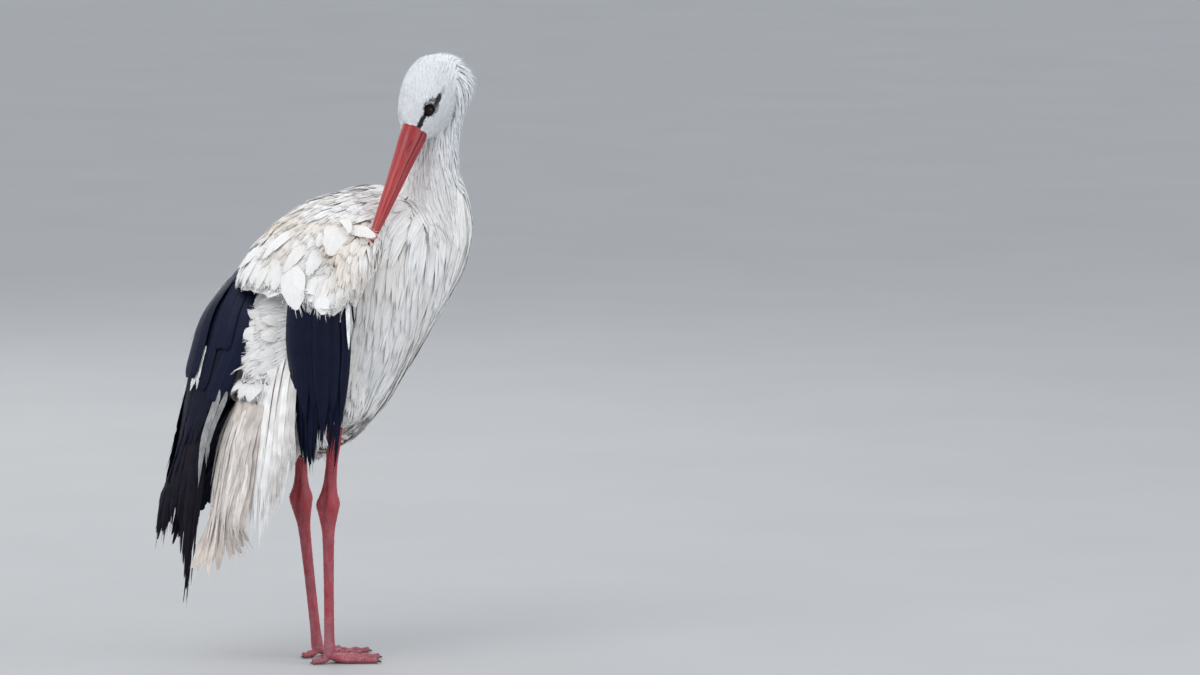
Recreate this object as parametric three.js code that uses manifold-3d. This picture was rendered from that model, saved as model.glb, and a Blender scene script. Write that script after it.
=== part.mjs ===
// A life-size white stork that stands and preens the feathers of its right shoulder.
// Millimetres. +X is the way the trunk faces, +Y is the bird's left, +Z is up.
// The floor is z = 0. The bird is drawn about the spot between its legs, and the finished group
// is then moved along the floor so that the origin is under the middle of its outline.
import * as THREE from "three";
import { mergeVertices } from "three/addons/utils/BufferGeometryUtils.js";
import Module from "manifold-3d";

const wasm = await Module();
wasm.setup();

// ---------------------------------------------------------------- driving dimensions
const JOIN_GAP = 0.4; // clear space left between two neighbouring pieces
const SMOOTHING = 0.15; // the finest detail kept where pieces are cut by one another
const BILL_LENGTH = 183; // feather line to tip
const HEAD_AT = [139, -28.6, 716]; // middle of the skull, between the eyes
const BILL_WAY = [-0.551, -0.26, -0.793]; // the head is turned back and the bill points down
const CROWN_WAY = [-0.814, -0.045, 0.579];
const EYE_RADIUS = 7.5;
const ANKLE = { left: [-13, 32, 208], right: [-11, -32, 206] };
const FOOT = { left: [11, 32, 11], right: [-9, -31, 11] }; // where the tarsus meets the toes
const KNEE = { left: [-12, 33, 322], right: [0, -34, 322] };
const TOE_RADIUS = 4.6;

// ---------------------------------------------------------------- shape helpers
const vec = (p) => new THREE.Vector3(...p);
const smooth = (points) => new THREE.CatmullRomCurve3(points, false, "centripetal");

// Reads a table of numbers at any place t from 0 to 1, on a smooth curve through its rows.
function reader(rows) {
  const columns = rows[0].map((_, c) => rows.map((row) => row[c]));
  return (t) => {
    const place = t * (rows.length - 1);
    const i = Math.min(Math.floor(place), rows.length - 2);
    return columns.map((v) =>
      THREE.MathUtils.clamp(
        catmull(v[Math.max(i - 1, 0)], v[i], v[i + 1], v[Math.min(i + 2, v.length - 1)], place - i),
        Math.min(v[i], v[i + 1]) - 1.5,
        Math.max(v[i], v[i + 1]) + 1.5,
      ),
    );
  };
}

function catmull(a, b, c, d, t) {
  const slopeIn = (c - a) / 2;
  const slopeOut = (d - b) / 2;
  const cube = 2 * b - 2 * c + slopeIn + slopeOut;
  const square = -3 * b + 3 * c - 2 * slopeIn - slopeOut;
  return ((cube * t + square) * t + slopeIn) * t + b;
}

// A closed skin over a cylinder's own mesh: place(t, angle) gives each point of its wall, and
// each end is closed at the middle of its rim.
function loft(place, sides, steps) {
  const geometry = new THREE.CylinderGeometry(1, 1, 1, sides, steps);
  const spot = geometry.getAttribute("position");
  for (let i = 0; i < spot.count; i++) {
    const t = 0.5 - spot.getY(i);
    const reach = Math.hypot(spot.getX(i), spot.getZ(i));
    const angle = Math.atan2(spot.getX(i), spot.getZ(i));
    const p = reach > 0.5 ? place(t, angle) : place(t, 0).add(place(t, Math.PI)).multiplyScalar(0.5);
    spot.setXYZ(i, p.x, p.y, p.z);
  }
  geometry.deleteAttribute("normal");
  geometry.deleteAttribute("uv");
  return outward(mergeVertices(geometry, 1e-4));
}

// Turns a closed mesh the right way out.
function outward(geometry) {
  const p = geometry.getAttribute("position");
  const index = geometry.index.array;
  const [a, b, c] = [new THREE.Vector3(), new THREE.Vector3(), new THREE.Vector3()];
  let volume = 0;
  for (let i = 0; i < index.length; i += 3) {
    a.fromBufferAttribute(p, index[i]);
    b.fromBufferAttribute(p, index[i + 1]);
    c.fromBufferAttribute(p, index[i + 2]);
    volume += a.dot(b.cross(c));
  }
  if (volume < 0)
    for (let i = 0; i < index.length; i += 3)
      [index[i + 1], index[i + 2]] = [index[i + 2], index[i + 1]];
  return geometry;
}

// Rows of [x high, z high, x low, z low, half width, y]: a body with upright oval sections.
function hull(rows, sides, steps) {
  const read = reader(rows);
  return loft(
    (t, angle) => {
      const [xHigh, zHigh, xLow, zLow, half, y] = read(t);
      const up = Math.cos(angle) / 2;
      return new THREE.Vector3(
        (xHigh + xLow) / 2 + (xHigh - xLow) * up,
        y + half * Math.sin(angle),
        (zHigh + zLow) / 2 + (zHigh - zLow) * up,
      );
    },
    sides,
    steps,
  );
}

// Rows of [x, y, z, radius along the first side, radius along the second]: a limb or neck.
function limb(rows, sides, steps, side = [0, 1, 0]) {
  const read = reader(rows);
  const line = (t) => vec(read(THREE.MathUtils.clamp(t, 0, 1)).slice(0, 3));
  return loft(
    (t, angle) => {
      const along = line(t + 0.02).sub(line(t - 0.02)).normalize();
      const across = vec(side).addScaledVector(along, -vec(side).dot(along)).normalize();
      const deep = along.clone().cross(across);
      const [, , , first, second] = read(t);
      return line(t)
        .addScaledVector(across, first * Math.sin(angle))
        .addScaledVector(deep, second * Math.cos(angle));
    },
    sides,
    steps,
  );
}

// Rows of [first edge, ridge, last edge, thickness], the first three being points: a bowed plate
// of feathers, thickest along its middle.
function plate(rows, strips, steps) {
  const read = reader(rows.map(([first, ridge, last, thick]) => [...first, ...ridge, ...last, thick]));
  const geometry = new THREE.BoxGeometry(1, 1, 1, strips, 1, steps);
  const spot = geometry.getAttribute("position");
  for (let i = 0; i < spot.count; i++) {
    const width = spot.getX(i) + 0.5; // 0 at the first edge, 1 at the last
    const [ax, ay, az, bx, by, bz, cx, cy, cz, thick] = read(spot.getZ(i) + 0.5);
    const [first, ridge, last] = [vec([ax, ay, az]), vec([bx, by, bz]), vec([cx, cy, cz])];
    const bow = ridge.clone().addScaledVector(first, -0.5).addScaledVector(last, -0.5);
    const depth = thick * (0.15 + 0.85 * Math.sin(Math.PI * width)) * spot.getY(i);
    const p = first
      .lerp(last, width)
      .addScaledVector(bow, 4 * width * (1 - width))
      .addScaledVector(bow.normalize(), depth);
    spot.setXYZ(i, p.x, p.y, p.z);
  }
  geometry.deleteAttribute("normal");
  geometry.deleteAttribute("uv");
  return outward(mergeVertices(geometry, 1e-4));
}

// One long flat feather from root to tip. flat is the way its face looks, bend bows it that way.
function feather(root, tip, width, thick, flat, bend = 0, steps = 6) {
  const way = vec(tip).sub(vec(root));
  const along = way.clone().normalize();
  const face = vec(flat).addScaledVector(along, -vec(flat).dot(along)).normalize();
  const across = along.clone().cross(face);
  return loft(
    (t, angle) => {
      const open = Math.sqrt(Math.min(1, 0.12 + 3.2 * t)) * Math.pow(1 - Math.pow(t, 5), 0.55);
      return vec(root)
        .addScaledVector(way, t)
        .addScaledVector(face, bend * 4 * t * (1 - t) + (thick / 2) * (1.15 - 0.65 * t) * Math.cos(angle))
        .addScaledVector(across, (width / 2) * Math.max(open, 0.14) * Math.sin(angle));
    },
    4,
    steps,
  );
}

// ---------------------------------------------------------------- solids
// A closed mesh, each point pushed out along its normal by grow, as a solid.
function solid(geometry, grow = 0) {
  const g = geometry.clone();
  const spot = g.getAttribute("position");
  if (grow) {
    g.computeVertexNormals();
    const normal = g.getAttribute("normal");
    for (let i = 0; i < spot.count; i++)
      spot.setXYZ(
        i,
        spot.getX(i) + normal.getX(i) * grow,
        spot.getY(i) + normal.getY(i) * grow,
        spot.getZ(i) + normal.getZ(i) * grow,
      );
  }
  return new wasm.Manifold(
    new wasm.Mesh({
      numProp: 3,
      vertProperties: new Float32Array(spot.array),
      triVerts: new Uint32Array(g.index.array),
    }),
  );
}

const joined = (shapes, grow) => shapes.map((g) => solid(g, grow)).reduce((a, b) => a.add(b));

function geometryOf(made) {
  const { numProp, vertProperties, triVerts } = made.getMesh();
  const count = vertProperties.length / numProp;
  const points = new Float32Array(count * 3);
  for (let i = 0; i < count; i++)
    points.set(vertProperties.subarray(i * numProp, i * numProp + 3), i * 3);
  return new THREE.BufferGeometry()
    .setAttribute("position", new THREE.BufferAttribute(points, 3))
    .setIndex(new THREE.BufferAttribute(new Uint32Array(triVerts), 1));
}

// ---------------------------------------------------------------- head, bill and eyes
// The head is drawn with its bill along +x and its crown along +z, then turned into place.
const headTurn = new THREE.Matrix4().makeBasis(
  vec(BILL_WAY).normalize(),
  vec(CROWN_WAY).cross(vec(BILL_WAY)).normalize(),
  vec(BILL_WAY).cross(vec(CROWN_WAY).cross(vec(BILL_WAY))).normalize(),
);
headTurn.setPosition(...HEAD_AT);
const onHead = (geometry) => outward(geometry.applyMatrix4(headTurn));

const BILL_BASE = 44; // from the middle of the skull to the feather line
const BILL_TIP = BILL_BASE + BILL_LENGTH;

function skull() {
  // x, crown, x, throat, half width, y
  const rows = [
    [-66, 18, -66, -24, 15, 0],
    [-56, 33, -56, -36, 28, 0],
    [-36, 42, -36, -42, 34, 0],
    [-10, 43, -10, -41, 34.5, 0],
    [10, 38.5, 10, -37, 31.5, 0],
    [27, 30.5, 27, -30, 25.5, 0],
    [38, 22.5, 38, -23, 19, 0],
    [47, 17, 47, -17.5, 14, 0],
  ];
  return onHead(hull(rows, 12, 9));
}

function bill() {
  const share = (s) => BILL_BASE + BILL_LENGTH * s;
  const rows = [
    [BILL_BASE - 8, 16.5, BILL_BASE - 8, -16.5, 13.5, 0],
    [share(0.06), 16.4, share(0.06), -16.6, 13.6, 0],
    [share(0.28), 13.2, share(0.28), -13.4, 11.2, 0],
    [share(0.54), 9.8, share(0.54), -9.6, 8.4, 0],
    [share(0.78), 6.2, share(0.78), -5.6, 5.4, 0],
    [share(0.93), 3.4, share(0.93), -2.2, 2.8, 0],
    [BILL_TIP, 1.4, BILL_TIP, 0.2, 0.8, 0],
  ];
  return onHead(hull(rows, 10, 7));
}

// The thin cut between the two halves of the bill follows the line of the mouth.
function mouthLine() {
  const cut = new THREE.BoxGeometry(BILL_LENGTH + 40, 60, JOIN_GAP).toNonIndexed();
  cut.translate(BILL_BASE + BILL_LENGTH / 2, 0, 0);
  cut.applyMatrix4(new THREE.Matrix4().makeRotationY(0.006));
  cut.deleteAttribute("normal");
  cut.deleteAttribute("uv");
  return onHead(mergeVertices(cut, 1e-4));
}

function eye(side) {
  const ball = new THREE.SphereGeometry(EYE_RADIUS, 10, 6);
  ball.deleteAttribute("normal");
  ball.deleteAttribute("uv");
  ball.translate(14.6, side * 22.5, 8.2);
  return onHead(mergeVertices(ball, 1e-4));
}

// ---------------------------------------------------------------- neck, breast and trunk
function neck() {
  const rows = [
    [166, -20, 778, 10, 10],
    [169, -19, 768, 27, 27],
    [172, -18, 752, 36, 37],
    [175, -17, 734, 39, 40],
    [174, -14, 708, 32, 31],
    [172, -12, 684, 29, 28],
    [168, -9, 655, 31, 30],
    [163, -4, 612, 43, 42],
    [158, 0, 568, 52, 52],
    [144, 0, 520, 50, 52],
  ];
  return limb(rows, 12, 11);
}

// The long lance-shaped feathers that hang from the foot of the neck over the breast.
function breastPlumes() {
  const rows = [
    [186, -8, 626, 30, 12],
    [189, -10, 585, 44, 20],
    [184, -12, 540, 50, 25],
    [162, -16, 490, 46, 24],
    [130, -24, 445, 36, 18],
    [104, -30, 402, 22, 11],
    [86, -34, 366, 8, 4],
  ];
  return limb(rows, 10, 7);
}

function trunk() {
  const rows = [
    [118, 594, 176, 582, 30, 0],
    [92, 598, 210, 548, 56, 0],
    [52, 590, 206, 506, 73, 2],
    [8, 574, 186, 462, 82, 3],
    [-34, 544, 152, 414, 86, 4],
    [-66, 508, 122, 372, 84, 4],
    [-88, 466, 94, 334, 76, 3],
    [-102, 420, 60, 298, 62, 0],
    [-108, 374, 14, 270, 52, 0],
    [-112, 334, -50, 282, 34, 0],
  ];
  return hull(rows, 16, 11);
}

// Back and shoulder feathers, a cape over the top of the trunk.
function mantle() {
  const rows = [
    [[100, 48, 580], [98, 4, 611], [112, -34, 590], 12],
    [[56, 74, 560], [52, 10, 604], [66, -56, 570], 16],
    [[10, 90, 536], [-2, 12, 592], [18, -76, 544], 20],
    [[-34, 94, 506], [-54, 14, 558], [-28, -84, 510], 22],
    [[-70, 76, 488], [-92, 14, 516], [-66, -80, 484], 16],
    [[-92, 46, 474], [-106, 8, 484], [-92, -60, 470], 7],
  ];
  return plate(rows, 6, 7);
}

// ---------------------------------------------------------------- tail
function tail() {
  const base = [
    [-94, 0, 352, 34, 20],
    [-112, 0, 300, 40, 18],
    [-130, 1, 245, 42, 9],
    [-143, 2, 200, 34, 3],
  ];
  const parts = [limb(base, 10, 5)];
  const count = 6;
  for (let i = 0; i < count; i++) {
    const s = (i / (count - 1)) * 2 - 1; // -1 is the right edge of the tail, 1 the left
    const root = [-112 - 2 * Math.abs(s), 20 * s, 318];
    const tip = [-152 - 24 * s, 40 * s, 132 - 20 * s + 16 * s * s];
    parts.push(feather(root, tip, 30, 4, [-1, 0, 0.25], -4));
  }
  return parts;
}

// Loose white feathers under the tail and beside the vent.
function undertail() {
  const rows = [
    [-52, -22, 300, 42, 26],
    [-80, -34, 268, 34, 22],
    [-98, -42, 236, 24, 13],
    [-110, -47, 203, 7, 3.5],
  ];
  return limb(rows, 10, 6);
}

// ---------------------------------------------------------------- wings
function leftCoverts() {
  const rows = [
    [[98, 66, 580], [116, 86, 556], [134, 74, 520], 10],
    [[44, 84, 556], [76, 102, 512], [108, 88, 456], 20],
    [[-12, 92, 520], [28, 108, 462], [76, 94, 398], 26],
    [[-66, 92, 482], [-20, 108, 416], [38, 94, 348], 24],
    [[-108, 92, 440], [-60, 106, 376], [-8, 94, 312], 9],
    [[-124, 88, 402], [-88, 98, 348], [-44, 90, 296], 4],
  ];
  return plate(rows, 6, 7);
}

// Black shoulder and inner flight feathers, and below them the longer outer ones.
function leftFlight() {
  const parts = [
    plate(
      [
        [[-66, 44, 498], [-82, 66, 500], [-76, 88, 488], 8],
        [[-94, 28, 450], [-116, 66, 456], [-118, 92, 440], 10],
        [[-114, 30, 396], [-136, 64, 400], [-140, 90, 386], 10],
        [[-132, 36, 344], [-150, 66, 344], [-152, 90, 330], 8],
        [[-150, 44, 290], [-164, 68, 286], [-166, 86, 272], 4],
      ],
      4,
      6,
    ),
  ];
  const blades = 5;
  for (let i = 0; i < blades; i++) {
    const s = i / (blades - 1); // 0 is the innermost, 1 the outermost and lowest
    const root = [-118 + 26 * s, 80 + 10 * s, 372 - 14 * s];
    const tip = [-208 + 40 * s, 76 - 14 * s, 172 - 68 * s];
    parts.push(feather(root, tip, 32, 4, [-0.5, 0.8, 0.1], 4 + 4 * s));
  }
  return parts;
}

// Lower edge of the closed left wing, the greater coverts and secondaries seen from its side.
function leftSecondaries() {
  const rows = [
    [[-14, 96, 384], [2, 104, 366], [22, 98, 346], 5],
    [[-62, 94, 366], [-44, 102, 326], [-16, 94, 302], 7],
    [[-104, 90, 346], [-92, 98, 300], [-66, 90, 268], 7],
    [[-138, 86, 312], [-130, 90, 264], [-112, 84, 234], 5],
    [[-162, 80, 272], [-158, 82, 238], [-146, 78, 208], 3],
  ];
  return plate(rows, 4, 5);
}

function rightCoverts() {
  const rows = [
    [[46, -40, 586], [54, -54, 574], [58, -56, 556], 8],
    [[12, -60, 566], [24, -80, 546], [36, -78, 524], 14],
    [[-24, -76, 540], [-8, -98, 518], [8, -96, 498], 16],
    [[-56, -80, 510], [-40, -104, 490], [-20, -102, 474], 12],
    [[-84, -74, 484], [-72, -97, 468], [-52, -100, 456], 6],
  ];
  return plate(rows, 5, 6);
}

function rightFlight() {
  const rows = [
    [[-84, -62, 478], [-66, -88, 472], [-24, -98, 464], 6],
    [[-86, -60, 430], [-68, -88, 428], [-22, -98, 420], 8],
    [[-82, -62, 385], [-66, -88, 383], [-26, -97, 378], 8],
    [[-80, -66, 340], [-64, -88, 338], [-32, -96, 334], 6],
  ];
  const parts = [plate(rows, 4, 4)];
  const tips = [
    [-75, -74, 289],
    [-72, -84, 267],
    [-58, -92, 278],
    [-40, -95, 271],
  ];
  tips.forEach((tip, i) => {
    const root = [-82 + 13 * i, -68 - 9 * i, 384];
    parts.push(feather(root, tip, 24, 4, [-0.6, -0.8, 0], 3));
  });
  return parts;
}

// ---------------------------------------------------------------- legs and feet
const sign = { left: 1, right: -1 };

function thigh(side) {
  const [kx, ky, kz] = KNEE[side];
  const [ax, ay, az] = ANKLE[side];
  const toAnkle = (s) => [kx + (ax - kx) * s, ky + (ay - ky) * s, kz + (az - kz) * s];
  const rows = [
    [kx + 22, ky, kz + 56, 14, 22],
    [kx + 14, ky, kz + 34, 28, 42],
    [kx + 6, ky, kz, 27, 40],
    [...toAnkle(0.24), 19, 26],
    [...toAnkle(0.44), 10.5, 12],
  ];
  return limb(rows, 10, 6);
}

function shank(side) {
  const [kx, ky, kz] = KNEE[side];
  const [ax, ay, az] = ANKLE[side];
  const toAnkle = (s) => [kx + (ax - kx) * s, ky + (ay - ky) * s, kz + (az - kz) * s];
  const rows = [
    [...toAnkle(0.1), 8, 9],
    [...toAnkle(0.5), 7, 8],
    [...toAnkle(0.72), 7.6, 9],
    [...toAnkle(0.88), 10.8, 12],
    [...toAnkle(1.0), 13.4, 14],
    [...toAnkle(1.06), 12.8, 13.6],
  ];
  return limb(rows, 10, 8);
}

function tarsus(side) {
  const [ax, ay, az] = ANKLE[side];
  const [fx, fy, fz] = FOOT[side];
  const toFoot = (s) => [ax + (fx - ax) * s, ay + (fy - ay) * s, az + (fz - az) * s];
  const rows = [
    [...toFoot(0.045), 12.4, 13],
    [...toFoot(0.1), 10.4, 11.2],
    [...toFoot(0.2), 7, 8.4],
    [...toFoot(0.5), 5.9, 7],
    [...toFoot(0.85), 6, 7],
    [...toFoot(0.96), 7.6, 7.6],
    [...toFoot(1.02), 7.4, 7],
  ];
  return limb(rows, 10, 7);
}

// Each toe: how far it turns from straight ahead, its length, and where its claw starts.
const TOES = [
  { name: "inner", turn: 27, length: 58 },
  { name: "middle", turn: 2, length: 76 },
  { name: "outer", turn: -32, length: 62 },
  { name: "hind", turn: 172, length: 24 },
];

function toeWay(side, toe) {
  const turn = THREE.MathUtils.degToRad(-toe.turn) * sign[side];
  return new THREE.Vector3(Math.cos(turn), Math.sin(turn), 0);
}

function toeRows(side, toe) {
  const [fx, fy, fz] = FOOT[side];
  const way = toeWay(side, toe);
  const at = (s, height) => [fx + way.x * toe.length * s, fy + way.y * toe.length * s, height];
  const r = TOE_RADIUS;
  return [
    [...at(0, fz - 1.5), r + 1.6, r + 1.4],
    [...at(0.22, r + 1.4), r + 0.3, r + 0.4],
    [...at(0.5, r - 0.9), r - 0.3, r],
    [...at(0.8, r - 1.3), r - 0.7, r - 0.4],
    [...at(1, r - 1.9), r - 1.6, r - 1.6],
  ];
}

const toeSide = (way) => [-way.y, way.x, 0];

function foot(side) {
  const parts = TOES.map((toe) => limb(toeRows(side, toe), 6, 4, toeSide(toeWay(side, toe))));
  const [fx, fy, fz] = FOOT[side];
  const heel = [
    [fx - 4, fy, fz + 3, 6, 6],
    [fx + 4, fy, fz - 1, 9, 7.5],
    [fx + 14, fy, fz - 3.5, 9, 5],
    [fx + 22, fy, fz - 5, 6, 3],
  ];
  parts.push(limb(heel, 6, 3));
  return parts;
}

function claw(side, toe) {
  const [fx, fy] = FOOT[side];
  const way = toeWay(side, toe);
  const long = toe.name === "hind" ? 8 : 10;
  const at = (s, height) => {
    const reach = toe.length - 2.5 + long * s;
    return [fx + way.x * reach, fy + way.y * reach, height];
  };
  const rows = [
    [...at(0, 3.6), 2.4, 2.4],
    [...at(0.5, 3.5), 2.1, 2.1],
    [...at(1, 1.6), 0.7, 0.7],
  ];
  return limb(rows, 6, 3, toeSide(way));
}

// Everything that meets the floor is cut level with it.
function underFloor() {
  const slab = new THREE.BoxGeometry(600, 400, 40).toNonIndexed();
  slab.translate(0, 0, -20);
  slab.deleteAttribute("normal");
  slab.deleteAttribute("uv");
  return solid(mergeVertices(slab, 1e-4));
}

// ---------------------------------------------------------------- materials
const finish = (color, roughness) => new THREE.MeshStandardMaterial({ color, roughness, metalness: 0 });
const WHITE = finish(0xe6e4e2, 0.9);
const BLACK = finish(0x141a2c, 0.45);
const BILL_RED = finish(0xb02a2c, 0.35);
const LEG_RED = finish(0xb5414a, 0.5);
const EYE_DARK = finish(0x0a0807, 0.1);
const HORN = finish(0x4a3130, 0.45);

// ---------------------------------------------------------------- the bird, piece by piece
// A piece gives way to those above it in this list, less the gap.
const plan = [
  ["eye_left", [eye(1)], EYE_DARK],
  ["eye_right", [eye(-1)], EYE_DARK],
  ["bill", [bill()], BILL_RED],
  ["head", [skull()], WHITE],
];
for (const side of ["left", "right"]) {
  for (const toe of TOES) plan.push([`claw_${side}_${toe.name}`, [claw(side, toe)], HORN]);
  plan.push([`foot_${side}`, foot(side), LEG_RED]);
  plan.push([`tarsus_${side}`, [tarsus(side)], LEG_RED]);
  plan.push([`shank_${side}`, [shank(side)], LEG_RED]);
}
plan.push(
  ["mantle", [mantle()], WHITE],
  ["wing_right_coverts", [rightCoverts()], WHITE],
  ["wing_right_flight", rightFlight(), BLACK],
  ["wing_left_coverts", [leftCoverts()], WHITE],
  ["wing_left_secondaries", [leftSecondaries()], BLACK],
  ["wing_left_flight", leftFlight(), BLACK],
  ["tail", tail(), WHITE],
  ["breast_plumes", [breastPlumes()], WHITE],
  ["neck", [neck()], WHITE],
  ["thigh_left", [thigh("left")], WHITE],
  ["thigh_right", [thigh("right")], WHITE],
  ["undertail", [undertail()], WHITE],
  ["trunk", [trunk()], WHITE],
);

const meet = (a, b) => {
  const [first, second] = [a.boundingBox(), b.boundingBox()];
  return [0, 1, 2].every((k) => first.min[k] < second.max[k] && second.min[k] < first.max[k]);
};

// What is left of a shape beside the pieces already placed, without the slivers a cut leaves.
function carved(shape) {
  const near = placed.filter((other) => meet(other.grown, shape));
  const rough = near.reduce((rest, other) => rest.subtract(other.grown), shape).simplify(SMOOTHING);
  const clear = near.reduce((rest, other) => rest.subtract(other.own), rough);
  return clear.decompose().reduce((a, b) => (b.volume() > a.volume() ? b : a));
}

function addPiece(name, made, material) {
  const mesh = new THREE.Mesh(geometryOf(made), material);
  mesh.name = name;
  bird.add(mesh);
}

// The upper and the lower half of the bill, parted along the mouth.
function billHalves(whole) {
  const [a, b] = whole
    .subtract(solid(mouthLine()))
    .decompose()
    .sort((first, second) => second.volume() - first.volume());
  const height = (half) => {
    const { min, max } = half.boundingBox();
    return vec(min).add(vec(max)).dot(vec(CROWN_WAY));
  };
  return height(a) > height(b) ? [a, b] : [b, a];
}

const bird = new THREE.Group();
const placed = [];
const ground = underFloor();

for (const [name, shapes, material] of plan) {
  const whole = joined(shapes, 0);
  const own = carved(whole.boundingBox().min[2] < 0.5 ? whole.subtract(ground) : whole);
  placed.push({ own, grown: joined(shapes, JOIN_GAP).add(own) });
  if (name === "bill") {
    const [upper, lower] = billHalves(own);
    addPiece("bill_upper", upper, material);
    addPiece("bill_lower", lower, material);
  } else {
    addPiece(name, own, material);
  }
}

const outline = new THREE.Box3().setFromObject(bird);
const middle = outline.getCenter(new THREE.Vector3());
bird.position.set(-middle.x, -middle.y, -outline.min.z);

export default bird;
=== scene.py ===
"""A life-size white stork that preens its right shoulder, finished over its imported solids.

The skin, bill, eyes, legs and claws come first, then the coat. Its feathers are closed vanes: most
grow from the skin along the lie of the plumage, the largest of the back and rump are laid one by
one, and the long ones of wings and tail lie on sheets of their own.
"""

import math
from contextlib import contextmanager
from itertools import product

import bmesh
import bpy
import numpy as np
from bpy.props import FloatProperty, FloatVectorProperty, IntProperty, PointerProperty
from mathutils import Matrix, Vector, noise
from mathutils.bvhtree import BVHTree


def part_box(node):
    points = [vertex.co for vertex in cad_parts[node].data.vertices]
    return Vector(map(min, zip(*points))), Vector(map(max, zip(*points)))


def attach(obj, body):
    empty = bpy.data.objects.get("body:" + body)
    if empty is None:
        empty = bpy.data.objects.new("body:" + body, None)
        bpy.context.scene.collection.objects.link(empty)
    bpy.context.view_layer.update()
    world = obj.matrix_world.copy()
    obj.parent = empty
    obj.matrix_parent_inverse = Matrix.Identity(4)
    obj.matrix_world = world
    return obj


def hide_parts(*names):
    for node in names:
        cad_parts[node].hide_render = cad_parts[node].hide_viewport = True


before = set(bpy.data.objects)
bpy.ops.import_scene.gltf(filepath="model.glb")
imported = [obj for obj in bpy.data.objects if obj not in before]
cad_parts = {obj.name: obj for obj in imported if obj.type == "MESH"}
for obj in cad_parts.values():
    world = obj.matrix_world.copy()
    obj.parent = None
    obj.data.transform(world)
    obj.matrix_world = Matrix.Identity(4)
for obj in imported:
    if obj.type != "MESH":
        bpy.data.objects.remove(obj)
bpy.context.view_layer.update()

bl_info = {
    "name": "White stork",
    "version": (1, 0, 0),
    "blender": (4, 5, 0),
    "location": "View3D > Sidebar > Stork",
    "description": "Builds a preening white stork, feather by feather",
    "category": "Object",
}

MM = 0.001


# ---- the bird's own frame
def unit(v):
    """Vectors of length one, along the last axis."""
    v = np.asarray(v, float)
    return v / np.maximum(np.linalg.norm(v, axis=-1, keepdims=True), 1e-9)


def box_middle(node):
    low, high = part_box(node)
    return np.array((low + high) / 2)


# The head is drawn with its bill along BILL_WAY and its crown along CROWN_WAY, in millimetres.
HEAD_AT = np.array([139, -28.6, 716])
BILL_WAY = unit([-0.551, -0.26, -0.793])
LEFT_WAY = unit(np.cross([-0.814, -0.045, 0.579], BILL_WAY))
CROWN_WAY = np.cross(BILL_WAY, LEFT_WAY)
HEAD_TURN = np.array([BILL_WAY, LEFT_WAY, CROWN_WAY])
EYE_SPOT = np.array([14.6, 22.5, 8.2])
EYE_RADIUS = 7.5
EYE_LOOK = unit([0.35, 0.92, 0.17])
BILL_BASE = 44
BILL_LENGTH = 183
SHIFT = box_middle("eye_left") - (HEAD_AT + EYE_SPOT @ HEAD_TURN) * MM


def tangent(way, up):
    return unit(way - up * (way * up).sum(-1, keepdims=True))


def place(points):
    """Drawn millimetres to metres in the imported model's frame."""
    return np.asarray(points, float) * MM + SHIFT


def unplace(points):
    return (np.asarray(points, float) - SHIFT) / MM


def on_head(points):
    """Head coordinates, in millimetres along bill, left and crown, to metres in the frame."""
    return place(HEAD_AT + np.asarray(points, float) @ HEAD_TURN)


def off_head(points):
    return (unplace(points) - HEAD_AT) @ HEAD_TURN.T


# ---- settings
class StorkBody(bpy.types.PropertyGroup):
    """Sizes of the skin and the bare parts."""

    skin_grain: FloatProperty(
        name="Skin grain", description="Cell size of the body's skin", default=0.0035,
        unit="LENGTH", subtype="DISTANCE")
    leg_grain: FloatProperty(
        name="Leg grain", description="Cell size of the skin on legs and toes", default=0.0011,
        unit="LENGTH", subtype="DISTANCE")
    seed: IntProperty(name="Seed", description="Start of all random draws", default=7)


class StorkCoat(bpy.types.PropertyGroup):
    """How dense the plumage is, and its main colours."""

    density: FloatProperty(
        name="Density", description="Feathers per area against the usual number", default=1,
        min=0.05, max=1.2)
    white: FloatVectorProperty(
        name="White", description="Clean white feather", default=(0.86, 0.85, 0.835),
        subtype="COLOR", min=0, max=1)
    cream: FloatVectorProperty(
        name="Cream", description="Stained white feather", default=(0.66, 0.52, 0.38),
        subtype="COLOR", min=0, max=1)
    black: FloatVectorProperty(
        name="Black", description="Glossy wing feather", default=(0.003, 0.0046, 0.017),
        subtype="COLOR", min=0, max=1)
    sooty: FloatVectorProperty(
        name="Sooty", description="Dull brown-black outer quill", default=(0.01, 0.007, 0.01),
        subtype="COLOR", min=0, max=1)


# ---- small helpers
def settings():
    return bpy.context.scene.stork_body, bpy.context.scene.stork_coat


def deselect():
    for o in bpy.context.selected_objects:
        o.select_set(False)


def make_active(obj):
    deselect()
    obj.select_set(True)
    bpy.context.view_layer.objects.active = obj


def finish_piece(obj, name, slot, *nodes):
    """Names a finished piece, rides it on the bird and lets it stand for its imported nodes."""
    obj.name = name
    obj.data.name = name
    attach(obj, "root")
    if nodes:
        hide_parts(*nodes)


def mesh_object(name, vertices, quads, triangles=None):
    """A new mesh from arrays of corners, its four-sided faces first."""
    triangles = np.empty((0, 3), int) if triangles is None else triangles
    corners = np.concatenate([quads.ravel(), triangles.ravel()]).astype(np.int32)
    sizes = np.concatenate([np.full(len(quads), 4), np.full(len(triangles), 3)]).astype(np.int32)
    mesh = bpy.data.meshes.new(name)
    mesh.vertices.add(len(vertices))
    mesh.vertices.foreach_set("co", np.asarray(vertices, np.float32).ravel())
    mesh.loops.add(len(corners))
    mesh.loops.foreach_set("vertex_index", corners)
    mesh.polygons.add(len(sizes))
    mesh.polygons.foreach_set("loop_start", (np.cumsum(sizes) - sizes).astype(np.int32))
    mesh.polygons.foreach_set("loop_total", sizes)
    shade_smooth(mesh)
    mesh.update(calc_edges=True)
    return linked(name, mesh)


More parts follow.
